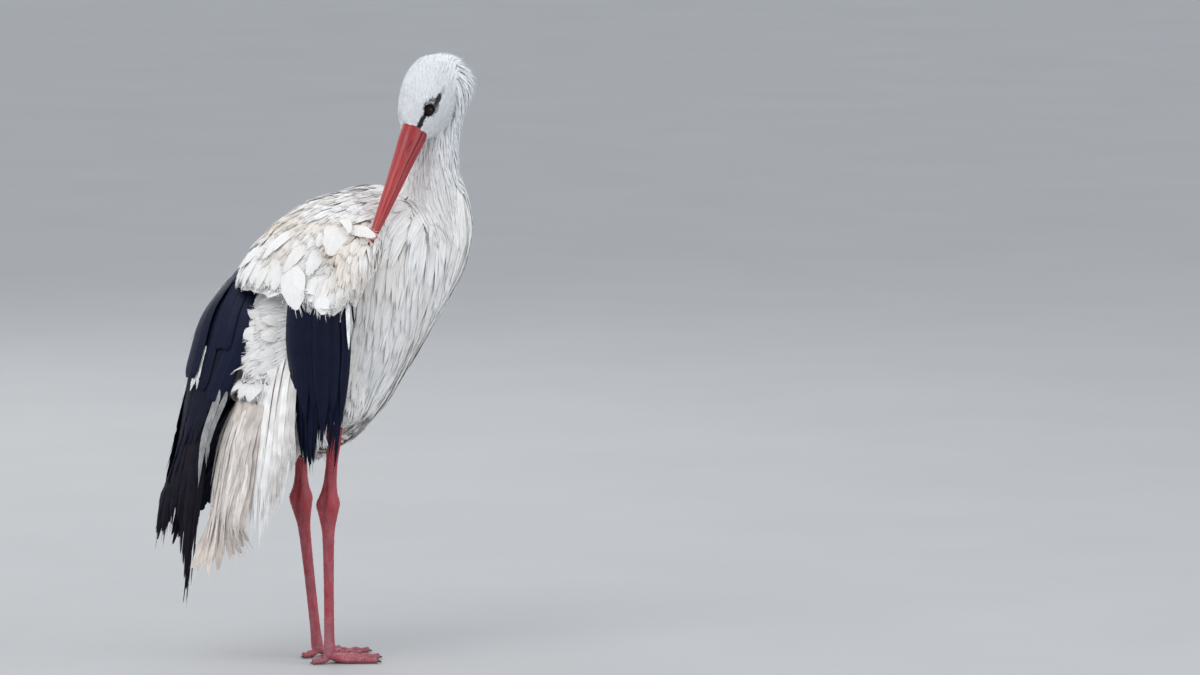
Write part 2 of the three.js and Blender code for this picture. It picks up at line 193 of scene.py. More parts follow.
def read(items, key, width=1, kind=np.float32):
    """One value of each of a mesh's items, as an array."""
    values = np.empty(len(items) * width, kind)
    items.foreach_get(key, values)
    return values if width == 1 else values.reshape(-1, width)


@contextmanager
def edit_mode():
    """Edit mode, with the whole of the active mesh selected."""
    bpy.ops.object.mode_set(mode="EDIT")
    bpy.ops.mesh.select_all(action="SELECT")
    yield
    bpy.ops.object.mode_set(mode="OBJECT")


@contextmanager
def edited(mesh):
    """A mesh opened for edits by hand, and written back."""
    bm = bmesh.new()
    bm.from_mesh(mesh)
    yield bm
    bm.to_mesh(mesh)
    bm.free()


def add_map(mesh, name, places):
    """A UV map from one place for each vertex."""
    layer = mesh.uv_layers.new(name=name)
    corner = read(mesh.loops, "vertex_index", kind=np.int32)
    layer.data.foreach_set("uv", np.asarray(places, np.float32)[corner].ravel())


def coordinates(mesh):
    return read(mesh.vertices, "co", 3).astype(float)


def vertex_normals(mesh):
    return read(mesh.vertices, "normal", 3).astype(float)


def set_coordinates(mesh, co):
    mesh.vertices.foreach_set("co", np.asarray(co, np.float32).ravel())
    mesh.update()


def linked(name, data):
    """A new object in the scene that holds the given data."""
    obj = bpy.data.objects.new(name, data)
    bpy.context.scene.collection.objects.link(obj)
    return obj


def apply_modifier(obj, kind, **values):
    make_active(obj)
    modifier = obj.modifiers.new(kind.title(), kind)
    for key, value in values.items():
        setattr(modifier, key, value)
    bpy.ops.object.modifier_apply(modifier=modifier.name)


def paint(mesh, name, colours):
    """A colour for each vertex, as an attribute that the materials read."""
    layer = mesh.color_attributes.new(name, "FLOAT_COLOR", "POINT")
    rgba = np.ones((len(mesh.vertices), 4), np.float32)
    rgba[:, :3] = colours
    layer.data.foreach_set("color", rgba.ravel())


def spread(mesh, values, rounds):
    """Averages a value over each vertex's neighbours, a few rounds over."""
    a, b = read(mesh.edges, "vertices", 2, np.int32).T
    n = len(values)
    count = np.bincount(a, minlength=n) + np.bincount(b, minlength=n) + 1
    for _ in range(rounds):
        values = (values + np.bincount(a, values[b], n) + np.bincount(b, values[a], n)) / count
    return values


def smooth_step(x):
    x = np.clip(x, 0, 1)
    return x * x * (3 - 2 * x)


def hill(x, power=2):
    """One at x = 0, falling smoothly to nothing on both sides."""
    return np.exp(-x ** power)


def blend(a, b, share):
    return np.asarray(a) * (1 - share) + np.asarray(b) * share


def turned(a, b, angle):
    """Two ways at right angles, turned in their own plane."""
    return a * np.cos(angle) + b * np.sin(angle), b * np.cos(angle) - a * np.sin(angle)


def noise_at(points):
    return np.array([noise.noise(Vector(p)) for p in points])


def shade_smooth(mesh):
    mesh.polygons.foreach_set("use_smooth", np.ones(len(mesh.polygons), bool))


def curve_through(rows, t):
    """A smooth curve through the rows of a table, read at places t from 0 to 1."""
    rows = np.asarray(rows, float)
    place_on = np.clip(np.asarray(t, float), 0, 1) * (len(rows) - 1)
    i = np.minimum(place_on.astype(int), len(rows) - 2)
    f = (place_on - i)[:, None]
    a, b = rows[np.maximum(i - 1, 0)], rows[i]
    c, d = rows[i + 1], rows[np.minimum(i + 2, len(rows) - 1)]
    into, out = (c - a) / 2, (d - b) / 2
    return ((2 * b - 2 * c + into + out) * f + (3 * c - 3 * b - 2 * into - out)) * f * f + into * f + b


def draw_out(times, step):
    """Extrudes the active filled circle along its axis, and turns all faces outwards."""
    with edit_mode():
        for _ in range(times):
            bpy.ops.mesh.extrude_region_move(TRANSFORM_OT_translate={"value": (0, 0, step)})
        bpy.ops.mesh.select_all(action="SELECT")
        bpy.ops.mesh.normals_make_consistent(inside=False)


def drawn_tube(name, rings):
    """A closed tube, drawn out ring by ring from a filled circle and then shaped to its rings.

    rings is (count, sides, 3), in metres.
    """
    count, sides, _ = rings.shape
    deselect()
    bpy.ops.mesh.primitive_circle_add(vertices=sides, radius=1, fill_type="TRIFAN")
    obj = bpy.context.active_object
    draw_out(count - 1, 1)
    co = coordinates(obj.data)
    ring = np.clip(np.rint(co[:, 2]).astype(int), 0, count - 1)
    middle = np.hypot(co[:, 0], co[:, 1]) < 0.5
    side = np.rint(np.arctan2(co[:, 0], co[:, 1]) / (2 * math.pi) * sides).astype(int) % sides
    shaped = rings[ring, side]
    shaped[middle] = rings.mean(1)[ring[middle]]
    set_coordinates(obj.data, shaped)
    tidy_mesh(obj.data)
    shade_smooth(obj.data)
    obj.name = name
    return obj


def tidy_mesh(mesh):
    """Merges doubles, drops faces without area and turns all faces outwards."""
    with edited(mesh) as bm:
        bmesh.ops.remove_doubles(bm, verts=bm.verts, dist=1e-6)
        bmesh.ops.dissolve_degenerate(bm, edges=bm.edges, dist=1e-6)
        bmesh.ops.recalc_face_normals(bm, faces=bm.faces)


def tube(name, rows, sides, steps, side=(0, 1, 0)):
    """Rows of [x, y, z, first radius, second radius] in millimetres, as a limb's skin."""
    t = np.linspace(0, 1, steps)
    at = curve_through(rows, t)
    line = at[:, :3]
    along = unit(np.gradient(line, axis=0))
    side = np.asarray(side, float)
    across = unit(side - along * (along @ side)[:, None])
    deep = np.cross(along, across)
    turn = np.linspace(0, 2 * math.pi, sides, endpoint=False)
    first = at[:, 3:4] * np.sin(turn)
    second = at[:, 4:5] * np.cos(turn)
    rings = line[:, None] + first[..., None] * across[:, None] + second[..., None] * deep[:, None]
    return drawn_tube(name, place(rings))


def join(objects, name):
    make_active(objects[0])
    for o in objects:
        o.select_set(True)
    bpy.ops.object.join()
    joined = bpy.context.view_layer.objects.active
    joined.name = name
    return joined


# ---- markings
LORE = np.array([[15, 9], [29, 10], [42, 5.5]])  # bare black skin, from the eye to the bill
BARE_BLACK = (0.004, 0.004, 0.006)
COOL_HEAD = (0.975, 1, 1.04)  # the head's white is a little bluer than the body's


def oval(spot, x, z, long, high):
    """Distance from the middle of an oval on the side of the head, one at its rim."""
    return np.hypot((spot[:, 0] - x) / long, (spot[:, 1] - z) / high)


def inside(distance, start, width, most=1):
    return most * (1 - smooth_step((distance - start) / width))


def black_skin(points):
    """How much of the bare black skin round the eye and down to the gape is at each point."""
    head = off_head(points)
    spot = head[:, [0, 2]]
    reach = np.full(len(spot), 9)
    for a, b in zip(LORE[:-1], LORE[1:]):
        way = b - a
        s = np.clip(((spot - a) @ way) / (way @ way), 0, 1)
        reach = np.minimum(reach, np.linalg.norm(spot - (a + s[:, None] * way), axis=1))
    mask = np.maximum.reduce([
        inside(oval(spot, *EYE_SPOT[[0, 2]], 10.6, 8.8), 0.75, 0.4),
        inside(reach, 2.2, 1.4),
        inside(oval(spot, 2.5, 5.6, 9, 3.8), 0.7, 0.4, most=0.95),
        inside(oval(spot, -8, 3.8, 9, 3.2), 0.4, 0.6, most=0.35)])
    return mask * (np.abs(head[:, 1]) > 9)


def cloud(points, size, seed=0):
    """Soft noise from 0 to 1 at each point, size in metres."""
    shift = Vector((seed, seed * 1.7, -seed))
    return noise_at([Vector(p) / size + shift for p in points]) * 0.5 + 0.5


def markings(points):
    """The plumage's own colour at each point of the white coat, skin or feather alike."""
    _, coat = settings()
    x, y, z = unplace(points).T
    stain = np.exp(-(((x + 8) / 62) ** 2 + ((z - 560) / 48) ** 2)) * (y < 60)
    stain = stain * smooth_step((cloud(points, 0.045, 3.1) - 0.34) / 0.3) * 0.5
    low = smooth_step((330 - z) / 120) * smooth_step((20 - x) / 120) * 0.42
    low = low * (0.5 + 0.5 * cloud(points, 0.03, 8.2))
    flank = 0.16 * smooth_step((cloud(points, 0.06, 5.4) - 0.45) / 0.3)
    mix = np.clip(stain + low + flank * (z < 600), 0, 0.8)[:, None]
    colour = blend(coat.white, coat.cream, mix)
    cool = smooth_step((z - 640) / 60)[:, None]
    colour = colour * (1 - cool + cool * COOL_HEAD)
    return blend(colour, BARE_BLACK, black_skin(points)[:, None])


# ---- materials
def made_once(store):
    """Wraps the maker of a named material or node group, to find one that is already there."""
    def wrap(maker):
        def find(name, *values, **sockets):
            return getattr(bpy.data, store).get(name) or maker(name, *values, **sockets)
        return find
    return wrap


def new_group(name, inputs, outputs):
    """A node group of numbers, with its input and output nodes."""
    group = bpy.data.node_groups.new(name, "ShaderNodeTree")
    for label, default in inputs.items():
        socket = group.interface.new_socket(name=label, in_out="INPUT", socket_type="NodeSocketFloat")
        socket.default_value = default
    for label in outputs:
        group.interface.new_socket(name=label, in_out="OUTPUT", socket_type="NodeSocketFloat")
    return group, group.nodes.new("NodeGroupInput"), group.nodes.new("NodeGroupOutput")


def add_node(tree, kind, links=None, **values):
    """A node whose inputs take values or other nodes' outputs."""
    node = tree.nodes.new(kind)
    for key, value in values.items():
        setattr(node, key, value)
    for key, value in (links or {}).items():
        socket = node.inputs[key]
        if isinstance(value, bpy.types.NodeSocket):
            tree.links.new(value, socket)
        else:
            socket.default_value = value
    return node


def sum_of(tree, operation, a, b=0, c=0):
    """The outcome of a sum on numbers or other nodes' outputs."""
    return add_node(tree, "ShaderNodeMath", {0: a, 1: b, 2: c}, operation=operation).outputs[0]


def object_place(tree):
    return add_node(tree, "ShaderNodeTexCoord").outputs["Object"]


def vane_parts(tree):
    """The map Vane, in millimetres: across the feather, then along it."""
    vane = add_node(tree, "ShaderNodeUVMap", uv_map="Vane")
    return add_node(tree, "ShaderNodeSeparateXYZ", {0: vane.outputs[0]}).outputs[:2]


def noise_of(tree, at, scale, detail=2):
    links = {"Vector": at, "Scale": scale, "Detail": detail}
    return add_node(tree, "ShaderNodeTexNoise", links).outputs[0]


def flat_noise(tree, x, y):
    at = add_node(tree, "ShaderNodeCombineXYZ", {0: x, 1: y}).outputs[0]
    links = {"Vector": at, "Scale": 1, "Detail": 2}
    return add_node(tree, "ShaderNodeTexNoise", links, noise_dimensions="2D").outputs[0]


def ranged(tree, value, start, end, low, high):
    """A value from start to end, as one from low to high."""
    return add_node(tree, "ShaderNodeMapRange", {0: value, 1: start, 2: end, 3: low, 4: high}).outputs[0]


@made_once("node_groups")
def barb_group(name):
    """Fine slanting barbs and a shaft, from the map Vane, which is in millimetres."""
    sizes = {"Barbs per mm": 1.2, "Slant": 1.2, "Shaft width": 0.5}
    group, start, end = new_group(name, sizes, ["Barbs", "Shaft", "Height"])
    side, along = vane_parts(group)
    across = sum_of(group, "ABSOLUTE", side)
    swept = sum_of(group, "MULTIPLY", across, start.outputs["Slant"])
    line = sum_of(group, "SUBTRACT", along, swept)
    dense = sum_of(group, "MULTIPLY", line, start.outputs["Barbs per mm"])
    fine = flat_noise(group, sum_of(group, "MULTIPLY", side, 0.12), dense)
    narrow = sum_of(group, "DIVIDE", across, start.outputs["Shaft width"])
    shaft = ranged(group, narrow, 0.5, 1.3, low=1, high=0)
    for label, value in (("Barbs", fine), ("Shaft", shaft), ("Height", sum_of(group, "ADD", fine, shaft))):
        group.links.new(value, end.inputs[label])
    return group


@made_once("node_groups")
def grain_group(name):
    """Small rounded scales or grains, with their size in metres."""
    group, start, end = new_group(name, {"Size": 0.002}, ["Grain", "Mottle"])
    spot = object_place(group)
    rate = sum_of(group, "DIVIDE", 1, start.outputs["Size"])
    cells = add_node(group, "ShaderNodeTexVoronoi", {"Vector": spot, "Scale": rate}, feature="SMOOTH_F1")
    cells.inputs["Smoothness"].default_value = 0.35
    mottle = noise_of(group, spot, sum_of(group, "MULTIPLY", rate, 0.16), 3)
    grain = sum_of(group, "SUBTRACT", 1, cells.outputs["Distance"])
    group.links.new(grain, end.inputs["Grain"])
    group.links.new(mottle, end.inputs["Mottle"])
    return group


def new_material(name, **sockets):
    material = bpy.data.materials.new(name)
    material.use_nodes = True
    shader = material.node_tree.nodes["Principled BSDF"]
    for key, value in sockets.items():
        shader.inputs[key.replace("_", " ").title().replace("Ior", "IOR")].default_value = value
    return material, material.node_tree, shader


def tinted(tree, shader, factor, low, high, start=0.25, end=0.75):
    """Base colour from the painted Tint, lightened and darkened by a pattern."""
    tint = add_node(tree, "ShaderNodeAttribute", attribute_name="Tint")
    change = ranged(tree, factor, start, end, low, high)
    colour = add_node(tree, "ShaderNodeVectorMath", {0: tint.outputs["Color"], 1: change},
                      operation="MULTIPLY")
    tree.links.new(colour.outputs[0], shader.inputs["Base Color"])


def bumped(tree, shader, height, strength, distance):
    """A fine relief in the shading, its distance in metres."""
    bump = add_node(tree, "ShaderNodeBump", {"Height": height, "Strength": strength, "Distance": distance})
    tree.links.new(bump.outputs[0], shader.inputs["Normal"])


@made_once("materials")
def feather_material(name, barbs, low, high, bump, **sockets):
    material, tree, shader = new_material(name, **sockets)
    pattern = add_node(tree, "ShaderNodeGroup", node_tree=barb_group("Feather barbs"))
    pattern.inputs["Barbs per mm"].default_value = barbs
    tinted(tree, shader, pattern.outputs["Barbs"], low, high)
    bumped(tree, shader, pattern.outputs["Height"], bump, distance=0.0006)
    return material


@made_once("materials")
def down_material(name, low, high, bump, **sockets):
    """Hair-fine streaks that run along each narrow feather."""
    material, tree, shader = new_material(name, **sockets)
    side, along = vane_parts(tree)
    drift = noise_of(tree, object_place(tree), scale=90)
    across = sum_of(tree, "MULTIPLY_ADD", drift, 6, sum_of(tree, "MULTIPLY", side, 1.6))
    streaks = flat_noise(tree, across, sum_of(tree, "MULTIPLY", along, 0.07))
    tinted(tree, shader, streaks, low, high)
    bumped(tree, shader, streaks, bump, distance=0.0003)
    return material


def white_down():
    return down_material("White down", low=0.87, high=1.04, bump=0.6, roughness=0.85,
                         specular_ior_level=0.15)


def white_feather():
    return feather_material("White feather", barbs=0.6, low=0.9, high=1.04, bump=0.5, roughness=0.8,
                            specular_ior_level=0.15)


def black_feather():
    return feather_material("Black feather", barbs=0.7, low=0.6, high=1.5, bump=0.6, roughness=0.42,
                            specular_ior_level=0.22, specular_tint=(0.65, 0.72, 1, 1))


@made_once("materials")
def grained_material(name, size, low, high, bump, **sockets):
    material, tree, shader = new_material(name, **sockets)
    pattern = add_node(tree, "ShaderNodeGroup", node_tree=grain_group("Skin grain"))
    pattern.inputs["Size"].default_value = size
    both = sum_of(tree, "MULTIPLY_ADD", pattern.outputs["Grain"], 0.4, pattern.outputs["Mottle"])
    tinted(tree, shader, sum_of(tree, "SUBTRACT", both, 0.25), low, high)
    bumped(tree, shader, pattern.outputs["Grain"], bump, distance=0.0006)
    return material


def black_bare_skin():
    return grained_material("Black bare skin", size=0.0008, low=0.7, high=1.3, bump=0.5, roughness=0.6,
                            specular_ior_level=0.08)


def body_skin():
    return grained_material("Body skin", size=0.0011, low=0.85, high=1.1, bump=0.4, roughness=0.7)


def leg_skin():
    return grained_material("Leg skin", size=0.0024, low=0.8, high=1.15, bump=0.7, roughness=0.5,
                            specular_ior_level=0.45)


def claw_horn():
    return grained_material("Claw horn", size=0.0016, low=0.75, high=1.3, bump=0.25, roughness=0.35)


# ---- skin
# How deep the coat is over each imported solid, in millimetres.
COAT_DEPTH = {
    "head": 3.5, "neck": 4.5, "breast_plumes": 4.5, "trunk": 6, "mantle": 6.5, "undertail": 5.5,
    "wing_left_coverts": 6.5, "wing_right_coverts": 5, "thigh_left": 5, "thigh_right": 5,
}
FLESH = list(COAT_DEPTH)
DEPTH_NEAR_BILL, DEPTH_NEAR_EYES = 1.8, 1.6
MOST_SUNK = 0.33  # share of the body's thickness at a place
KNEE = {"left": [-12, 33, 322], "right": [0, -34, 322]}
ANKLE = {"left": [-13, 32, 208], "right": [-11, -32, 206]}
FOOT = {"left": [11, 32, 11], "right": [-9, -31, 11]}
SIDE = {"left": 1, "right": -1}
TOES = {"inner": (27, 58), "middle": (2, 76), "outer": (-32, 62), "hind": (172, 24)}  # turn, length
FLESH_END = 322  # how low the flesh of thighs and undertail reaches
SHANK = [  # share from knee to ankle, and two radii
    (0.06, 9, 11), (0.3, 8.2, 10), (0.5, 7, 8), (0.72, 7.4, 8.8), (0.84, 9.2, 11), (0.93, 12, 13.4),
    (1, 13.2, 14.2), (1.06, 12.6, 13.4), (1.11, 9, 9),
]
TARSUS = [
    (-0.03, 9, 9), (0.03, 12.6, 13.2), (0.09, 10.6, 11.6), (0.2, 7, 8.4), (0.5, 5.9, 7), (0.85, 6, 7),
    (0.96, 7.8, 7.8), (1.02, 6.6, 6.6),
]
SCALE_SIZE = [3.4, 3.4, 4.6]  # the leg's scales
PLATE_LENGTH = 3.6  # the plates along the top of a toe
KNUCKLES = [(-0.85, 3), (0.75, 0), (2.4, 2), (-2.2, 0)]  # how far round the ankle, and how high
LEG_RED = (0.44, 0.036, 0.05)
# grey-violet bloom, partly a painted sheen on the side that faces the camera
LEG_BLOOM_AND_SHEEN = (0.36, 0.18, 0.22)
# painted shade in the grooves between scales and in the ankles' folds
LEG_GROOVE_SHADE = (0.16, 0.02, 0.025)
HIDE = {}  # the finished skin's arrays, which every coat piece grows from


def copy_of(node):
    """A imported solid's own copy, merged; where plumes hang lower than the flesh, it is drawn up."""
    obj = linked("copy_" + node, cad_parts[node].data.copy())
    obj.data.materials.clear()
    with edited(obj.data) as bm:
        bmesh.ops.remove_doubles(bm, verts=bm.verts, dist=1e-5)
    if node.startswith("thigh") or node == "undertail":
        drawn = unplace(coordinates(obj.data))
        end = FLESH_END + np.minimum(drawn[:, 0] + 30, 0) * 1.25 * (node == "undertail")
        drawn[:, 2] = np.where(drawn[:, 2] < end, blend(end, drawn[:, 2], 0.3), drawn[:, 2])
        set_coordinates(obj.data, place(drawn))
    return obj


def triangles_of(mesh):
    mesh.calc_loop_triangles()
    triangles = mesh.loop_triangles
    return read(triangles, "vertices", 3, np.int32), read(triangles, "polygon_index", kind=np.int32)


def node_tree(names):
    """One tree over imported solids, and which name of the list each of its triangles is of."""
    vertices, faces, owner = [], [], []
    for i, name in enumerate(names):
        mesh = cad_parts[name].data
        tri, _ = triangles_of(mesh)
        faces.append(tri + sum(map(len, vertices)))
        vertices.append(coordinates(mesh))
        owner += [i] * len(tri)
    return BVHTree.FromPolygons(np.concatenate(vertices).tolist(), np.concatenate(faces).tolist()), owner


def nearest_node(points):
    """Which packed flesh solid each point belongs to."""
    tree, owner = node_tree(FLESH)
    return np.array([owner[tree.find_nearest(Vector(p))[2]] for p in points])


def voxel_skin(objects, name, cell, rounds):
    obj = join(objects, name)
    apply_modifier(obj, "REMESH", mode="VOXEL", voxel_size=cell, adaptivity=0)
    apply_modifier(obj, "SMOOTH", factor=0.5, iterations=rounds)
    return obj


def keep_largest(mesh):
    """Drops all but the largest of a mesh's islands."""
    with edited(mesh) as bm:
        left, best = set(bm.verts), []
        while left:
            island = [left.pop()]
            for vertex in island:
                near = {end for edge in vertex.link_edges for end in edge.verts} & left
                left -= near
                island += near
            best = max(best, island, key=len)
        kept = set(best)
        bmesh.ops.delete(bm, geom=[v for v in bm.verts if v not in kept], context="VERTS")


def eye_distance(head):
    """How far each place on the head is from the nearer eye, in millimetres."""
    return np.minimum(*(np.linalg.norm(head - EYE_SPOT * [1, side, 1], axis=1) for side in (1, -1)))


def sink(obj):
    """Pushes the skin in by the coat's depth, less where the body is thin."""
    mesh = obj.data
    co, normals = coordinates(mesh), vertex_normals(mesh)
    depth = np.array([COAT_DEPTH[n] for n in FLESH])[nearest_node(co)] * MM
    head = off_head(co)
    near_bill = (head[:, 0] > 20) & (np.linalg.norm(head[:, 1:], axis=1) < 60)
    depth = np.where(near_bill, DEPTH_NEAR_BILL * MM, depth)
    depth = np.where(eye_distance(head) < 22, DEPTH_NEAR_EYES * MM, depth)
    tree = BVHTree.FromObject(obj, bpy.context.evaluated_depsgraph_get())
    for i, (p, n) in enumerate(zip(co, normals)):
        inward = Vector(-n)
        hit = tree.ray_cast(Vector(p) + inward * 1e-4, inward, 0.06)
        if hit[0] is not None:
            depth[i] = min(depth[i], hit[3] * MOST_SUNK)
    depth = spread(mesh, depth, rounds=12)
    set_coordinates(mesh, co - normals * depth[:, None])


def toe_ways(side, toe):
    """The way a toe points, the way across it and its length."""
    turn, length = TOES[toe]
    angle = -math.radians(turn) * SIDE[side]
    way = np.array([math.cos(angle), math.sin(angle), 0])
    return way, np.array([-way[1], way[0], 0]), length


def toe_form(side, toe):
    """One toe as a tube, swollen at its joints."""
    way, cross, length = toe_ways(side, toe)
    joints, thick, taper = (2, 5.8, 1.8) if toe == "hind" else (4, 6.4, 2.4)
    rows = []
    for s in np.linspace(-0.08, 1, 4 * joints + 3):
        r = (thick - taper * max(s, 0)) * (1 + 0.13 * math.cos(2 * math.pi * joints * s))
        rise = 5.5 * max(0, 1 - s * 3.2)
        at = np.array(FOOT[side]) * [1, 1, 0] + way * length * s + [0, 0, r * 0.86 + rise]
        rows.append([*at, r * 1.06, r * 0.9])
    return tube(f"toe_{side}_{toe}_form", rows, sides=16, steps=30, side=cross)


def leg_parts(side):
    """The bare leg from above the ankle to the toes, as tubes to be made one skin."""
    knee, ankle, foot = np.array(KNEE[side]), np.array(ANKLE[side]), np.array(FOOT[side])
    parts = []
    for name, top, end, table in (("shank", knee, ankle, SHANK), ("tarsus", ankle, foot, TARSUS)):
        rows = [[*(top + (end - top) * s), a, b] for s, a, b in table]
        parts.append(tube(f"{name}_{side}_form", rows, sides=20, steps=46))
    return parts + [toe_form(side, toe) for toe in TOES]


def least_turn(angle):
    return np.angle(np.exp(1j * angle))


def scaled_legs(obj):
    """Presses scales, folds at the ankles and plates on the toes into the legs' skin."""
    mesh = obj.data
    co, normals = coordinates(mesh), vertex_normals(mesh)
    x, y, z = unplace(co).T
    press = np.zeros(len(co))
    for i, cell in enumerate(unplace(co) / SCALE_SIZE):
        distances, _ = noise.voronoi(Vector(cell))
        press[i] = min(0.55, distances[1] - distances[0]) * 0.55 - 0.15
    for side, (ax, ay, az) in ANKLE.items():
        on = np.sign(y) == SIDE[side]
        near = on * hill((z - az) / 17)
        folds = np.sin(z * 1.5 + 2.6 * np.sin(x * 0.31) + 2.2 * np.sin(y * 0.37))
        folds = folds * smooth_step(cloud(co, 0.007, 4.7) * 2.2 - 0.5)
        round_it = np.arctan2(y - ay, x - ax) - math.atan2(-0.84, -0.54) + 0.35
        groove = hill(least_turn(round_it) / 0.3) * hill((z - az - 16) / 24)
        knuckles = sum(np.exp(-(least_turn(round_it - a) / 0.5) ** 2 - ((z - az - up) / 7.5) ** 2)
                       for a, up in KNUCKLES)
        press += near * (0.38 * folds + 0.1) + on * (2 * knuckles - 1.7 * groove)
        press += near * 1.1 * (cloud(co, 0.01, 6.1) - 0.5)
    toes = (z < 15) * smooth_step(normals[:, 2] * 1.6)
    for side, foot in FOOT.items():
        away = np.hypot(x - foot[0], y - foot[1])
        on = (np.sign(y) == SIDE[side]) * toes * (away > 9)
        press += on * 0.32 * np.sin(away * 2 * math.pi / PLATE_LENGTH)
    floor = smooth_step((z - 0.6) / 2)
    moved = co + normals * (press * floor)[:, None] * MM
    moved[:, 2] = np.maximum(moved[:, 2], place([0, 0, 0.02])[2])
    set_coordinates(mesh, moved)
    return press


def leg_tint(points, normals, press):
    """Pinkish red legs, a grey-violet bloom and painted sheen down the front, painted shade between scales.
    """
    z = unplace(points)[:, 2]
    # Painted sheen: the bloom is strongest where the leg faces the camera.
    facing = np.clip(normals @ unit([-0.54, -0.83, 0.1]), 0, 1) ** 1.5
    stretched = points * [1, 1, 0.28]
    patches = 0.5 * cloud(stretched, 0.01, 2) + 0.5 * cloud(stretched, 0.0042, 7)
    mix = facing * smooth_step((patches - 0.36) / 0.26) * 0.42
    mix = np.clip(mix + 0.1 + 0.22 * smooth_step((70 - z) / 60), 0, 0.7)
    mix = mix * (1 - 0.55 * smooth_step((z - 215) / 40))
    mix = mix * (1 - 0.6 * hill((z - 207) / 22))
    # Painted shade in the pressed-in grooves between scales and at the ankles.
    low = smooth_step(-press * 3)[:, None] * 0.5
    return blend(blend(LEG_RED, LEG_BLOOM_AND_SHEEN, mix[:, None]), LEG_GROOVE_SHADE, low)


class MakeSkin(bpy.types.Operator):
    """One skin for the head, neck, body, thighs, legs and toes, sunk by the depth of the coat"""
    bl_idname = "stork.make_skin"
    bl_label = "Skin"

    def execute(self, context):
        body, _ = settings()
        skin = voxel_skin([copy_of(n) for n in FLESH], "skin", body.skin_grain, rounds=9)
        keep_largest(skin.data)
        sink(skin)
        refine_face(skin.data)
        store_hide(skin)
        legs = voxel_skin(leg_parts("left") + leg_parts("right"), "legs", body.leg_grain, rounds=3)
        press = scaled_legs(legs)
        paint(legs.data, "Tint", leg_tint(coordinates(legs.data), vertex_normals(legs.data), press))
        paint(skin.data, "Tint", markings(coordinates(skin.data)))
        lids = [make_lid(1), make_lid(-1)]
        materials = [body_skin(), leg_skin(), black_bare_skin(), black_bare_skin()]
        for o, material in zip([skin, legs, *lids], materials):
            o.data.materials.clear()
            o.data.materials.append(material)
        skin = join([skin, legs, *lids], "skin")
        shade_smooth(skin.data)
        unwrap_skin(skin)
        legs_nodes = [f"{part}_{side}" for part in ("shank", "tarsus", "foot") for side in SIDE]
        finish_piece(skin, "skin", "leg_skin", *FLESH, *legs_nodes)
        return {"FINISHED"}


def refine_face(mesh):
    """Finer faces round the eyes and the foot of the bill, for the bare skin there."""
    head = off_head(coordinates(mesh))
    x, y, z = head.T
    bill_foot = (x > 12) & (x < 50) & (np.abs(y) > 6) & (z > -20) & (z < 14) & (np.hypot(y, z) < 45)
    near = (eye_distance(head) < 15) | bill_foot
    with edited(mesh) as bm:
        bm.verts.ensure_lookup_table()
        edges = [e for e in bm.edges if near[e.verts[0].index] and near[e.verts[1].index]]
        bmesh.ops.subdivide_edges(bm, edges=edges, cuts=2, use_grid_fill=True)
        bmesh.ops.triangulate(bm, faces=[f for f in bm.faces if len(f.verts) > 4])


LID_LONG, LID_HIGH = 5.3, 4.7  # half sizes of the opening
LID_BLACK = 0.004


def make_lid(side):
    """A fleshy rim of skin round one eye, thicker above, with a skirt under the feathers."""
    sides, turns = 12, 56
    spot, look = EYE_SPOT * [1, side, 1], EYE_LOOK * [1, side, 1]
    first = tangent(np.array([1, 0, 0]), look)
    second = tangent(np.array([0, 0, 1]), look)
    rings = np.zeros((turns, sides, 3))
    for i, a in enumerate(np.linspace(0, 2 * math.pi, turns, endpoint=False)):
        corner = 0.9 * abs(math.cos(a)) ** 3
        offset = first * (LID_LONG + corner) * math.cos(a) + second * LID_HIGH * math.sin(a)
        centre = spot + offset + look * math.sqrt((EYE_RADIUS + 0.3) ** 2 - offset @ offset)
        out = unit(centre - spot)
        away = tangent(offset, out)
        thick = 0.8 + 0.3 * max(0, math.sin(a)) + 0.05 * math.sin(11 * a)
        for j, b in enumerate(np.linspace(0, 2 * math.pi, sides, endpoint=False)):
            skirt = max(0, math.sin(b))
            rings[i, j] = (centre + out * (thick * 0.8 * math.cos(b) - 1.1 * skirt)
                           + away * (thick * 1.2 * math.sin(b) + 2 * skirt))
    index = np.arange(turns)[:, None] * sides + np.arange(sides)[None]
    nxt = np.roll(index, -1, 0)
    quads = np.stack([index, np.roll(index, -1, 1), np.roll(nxt, -1, 1), nxt], -1).reshape(-1, 4)
    lid = mesh_object("lid", on_head(rings.reshape(-1, 3)), quads)
    tidy_mesh(lid.data)
    paint(lid.data, "Tint", LID_BLACK)
    return lid


def unwrap_skin(obj):
    make_active(obj)
    obj.data.uv_layers.new(name="OFBake")
    with edit_mode():
        bpy.ops.uv.smart_project(angle_limit=math.radians(75), island_margin=0.001)
    uv = read(obj.data.uv_layers["OFBake"].data, "uv", 2)
    starts = read(obj.data.polygons, "loop_start", kind=np.int32)
    HIDE["bake"] = uv[starts[HIDE["face"]]]


def store_hide(obj):
    """Keeps the body skin's triangles, normals and regions for the coat."""
    mesh = obj.data
    co, normals = coordinates(mesh), vertex_normals(mesh)
    tri, face = triangles_of(mesh)
    a, b, c = co[tri].transpose(1, 0, 2)
    HIDE.update(
        co=co, tri=tri, face=face, area=np.linalg.norm(np.cross(b - a, c - a), axis=1) / 2,
        normal=unit(normals[tri].mean(1)), region=nearest_node(co[tri].mean(1)),
        tree=BVHTree.FromPolygons(co.tolist(), tri.tolist()))


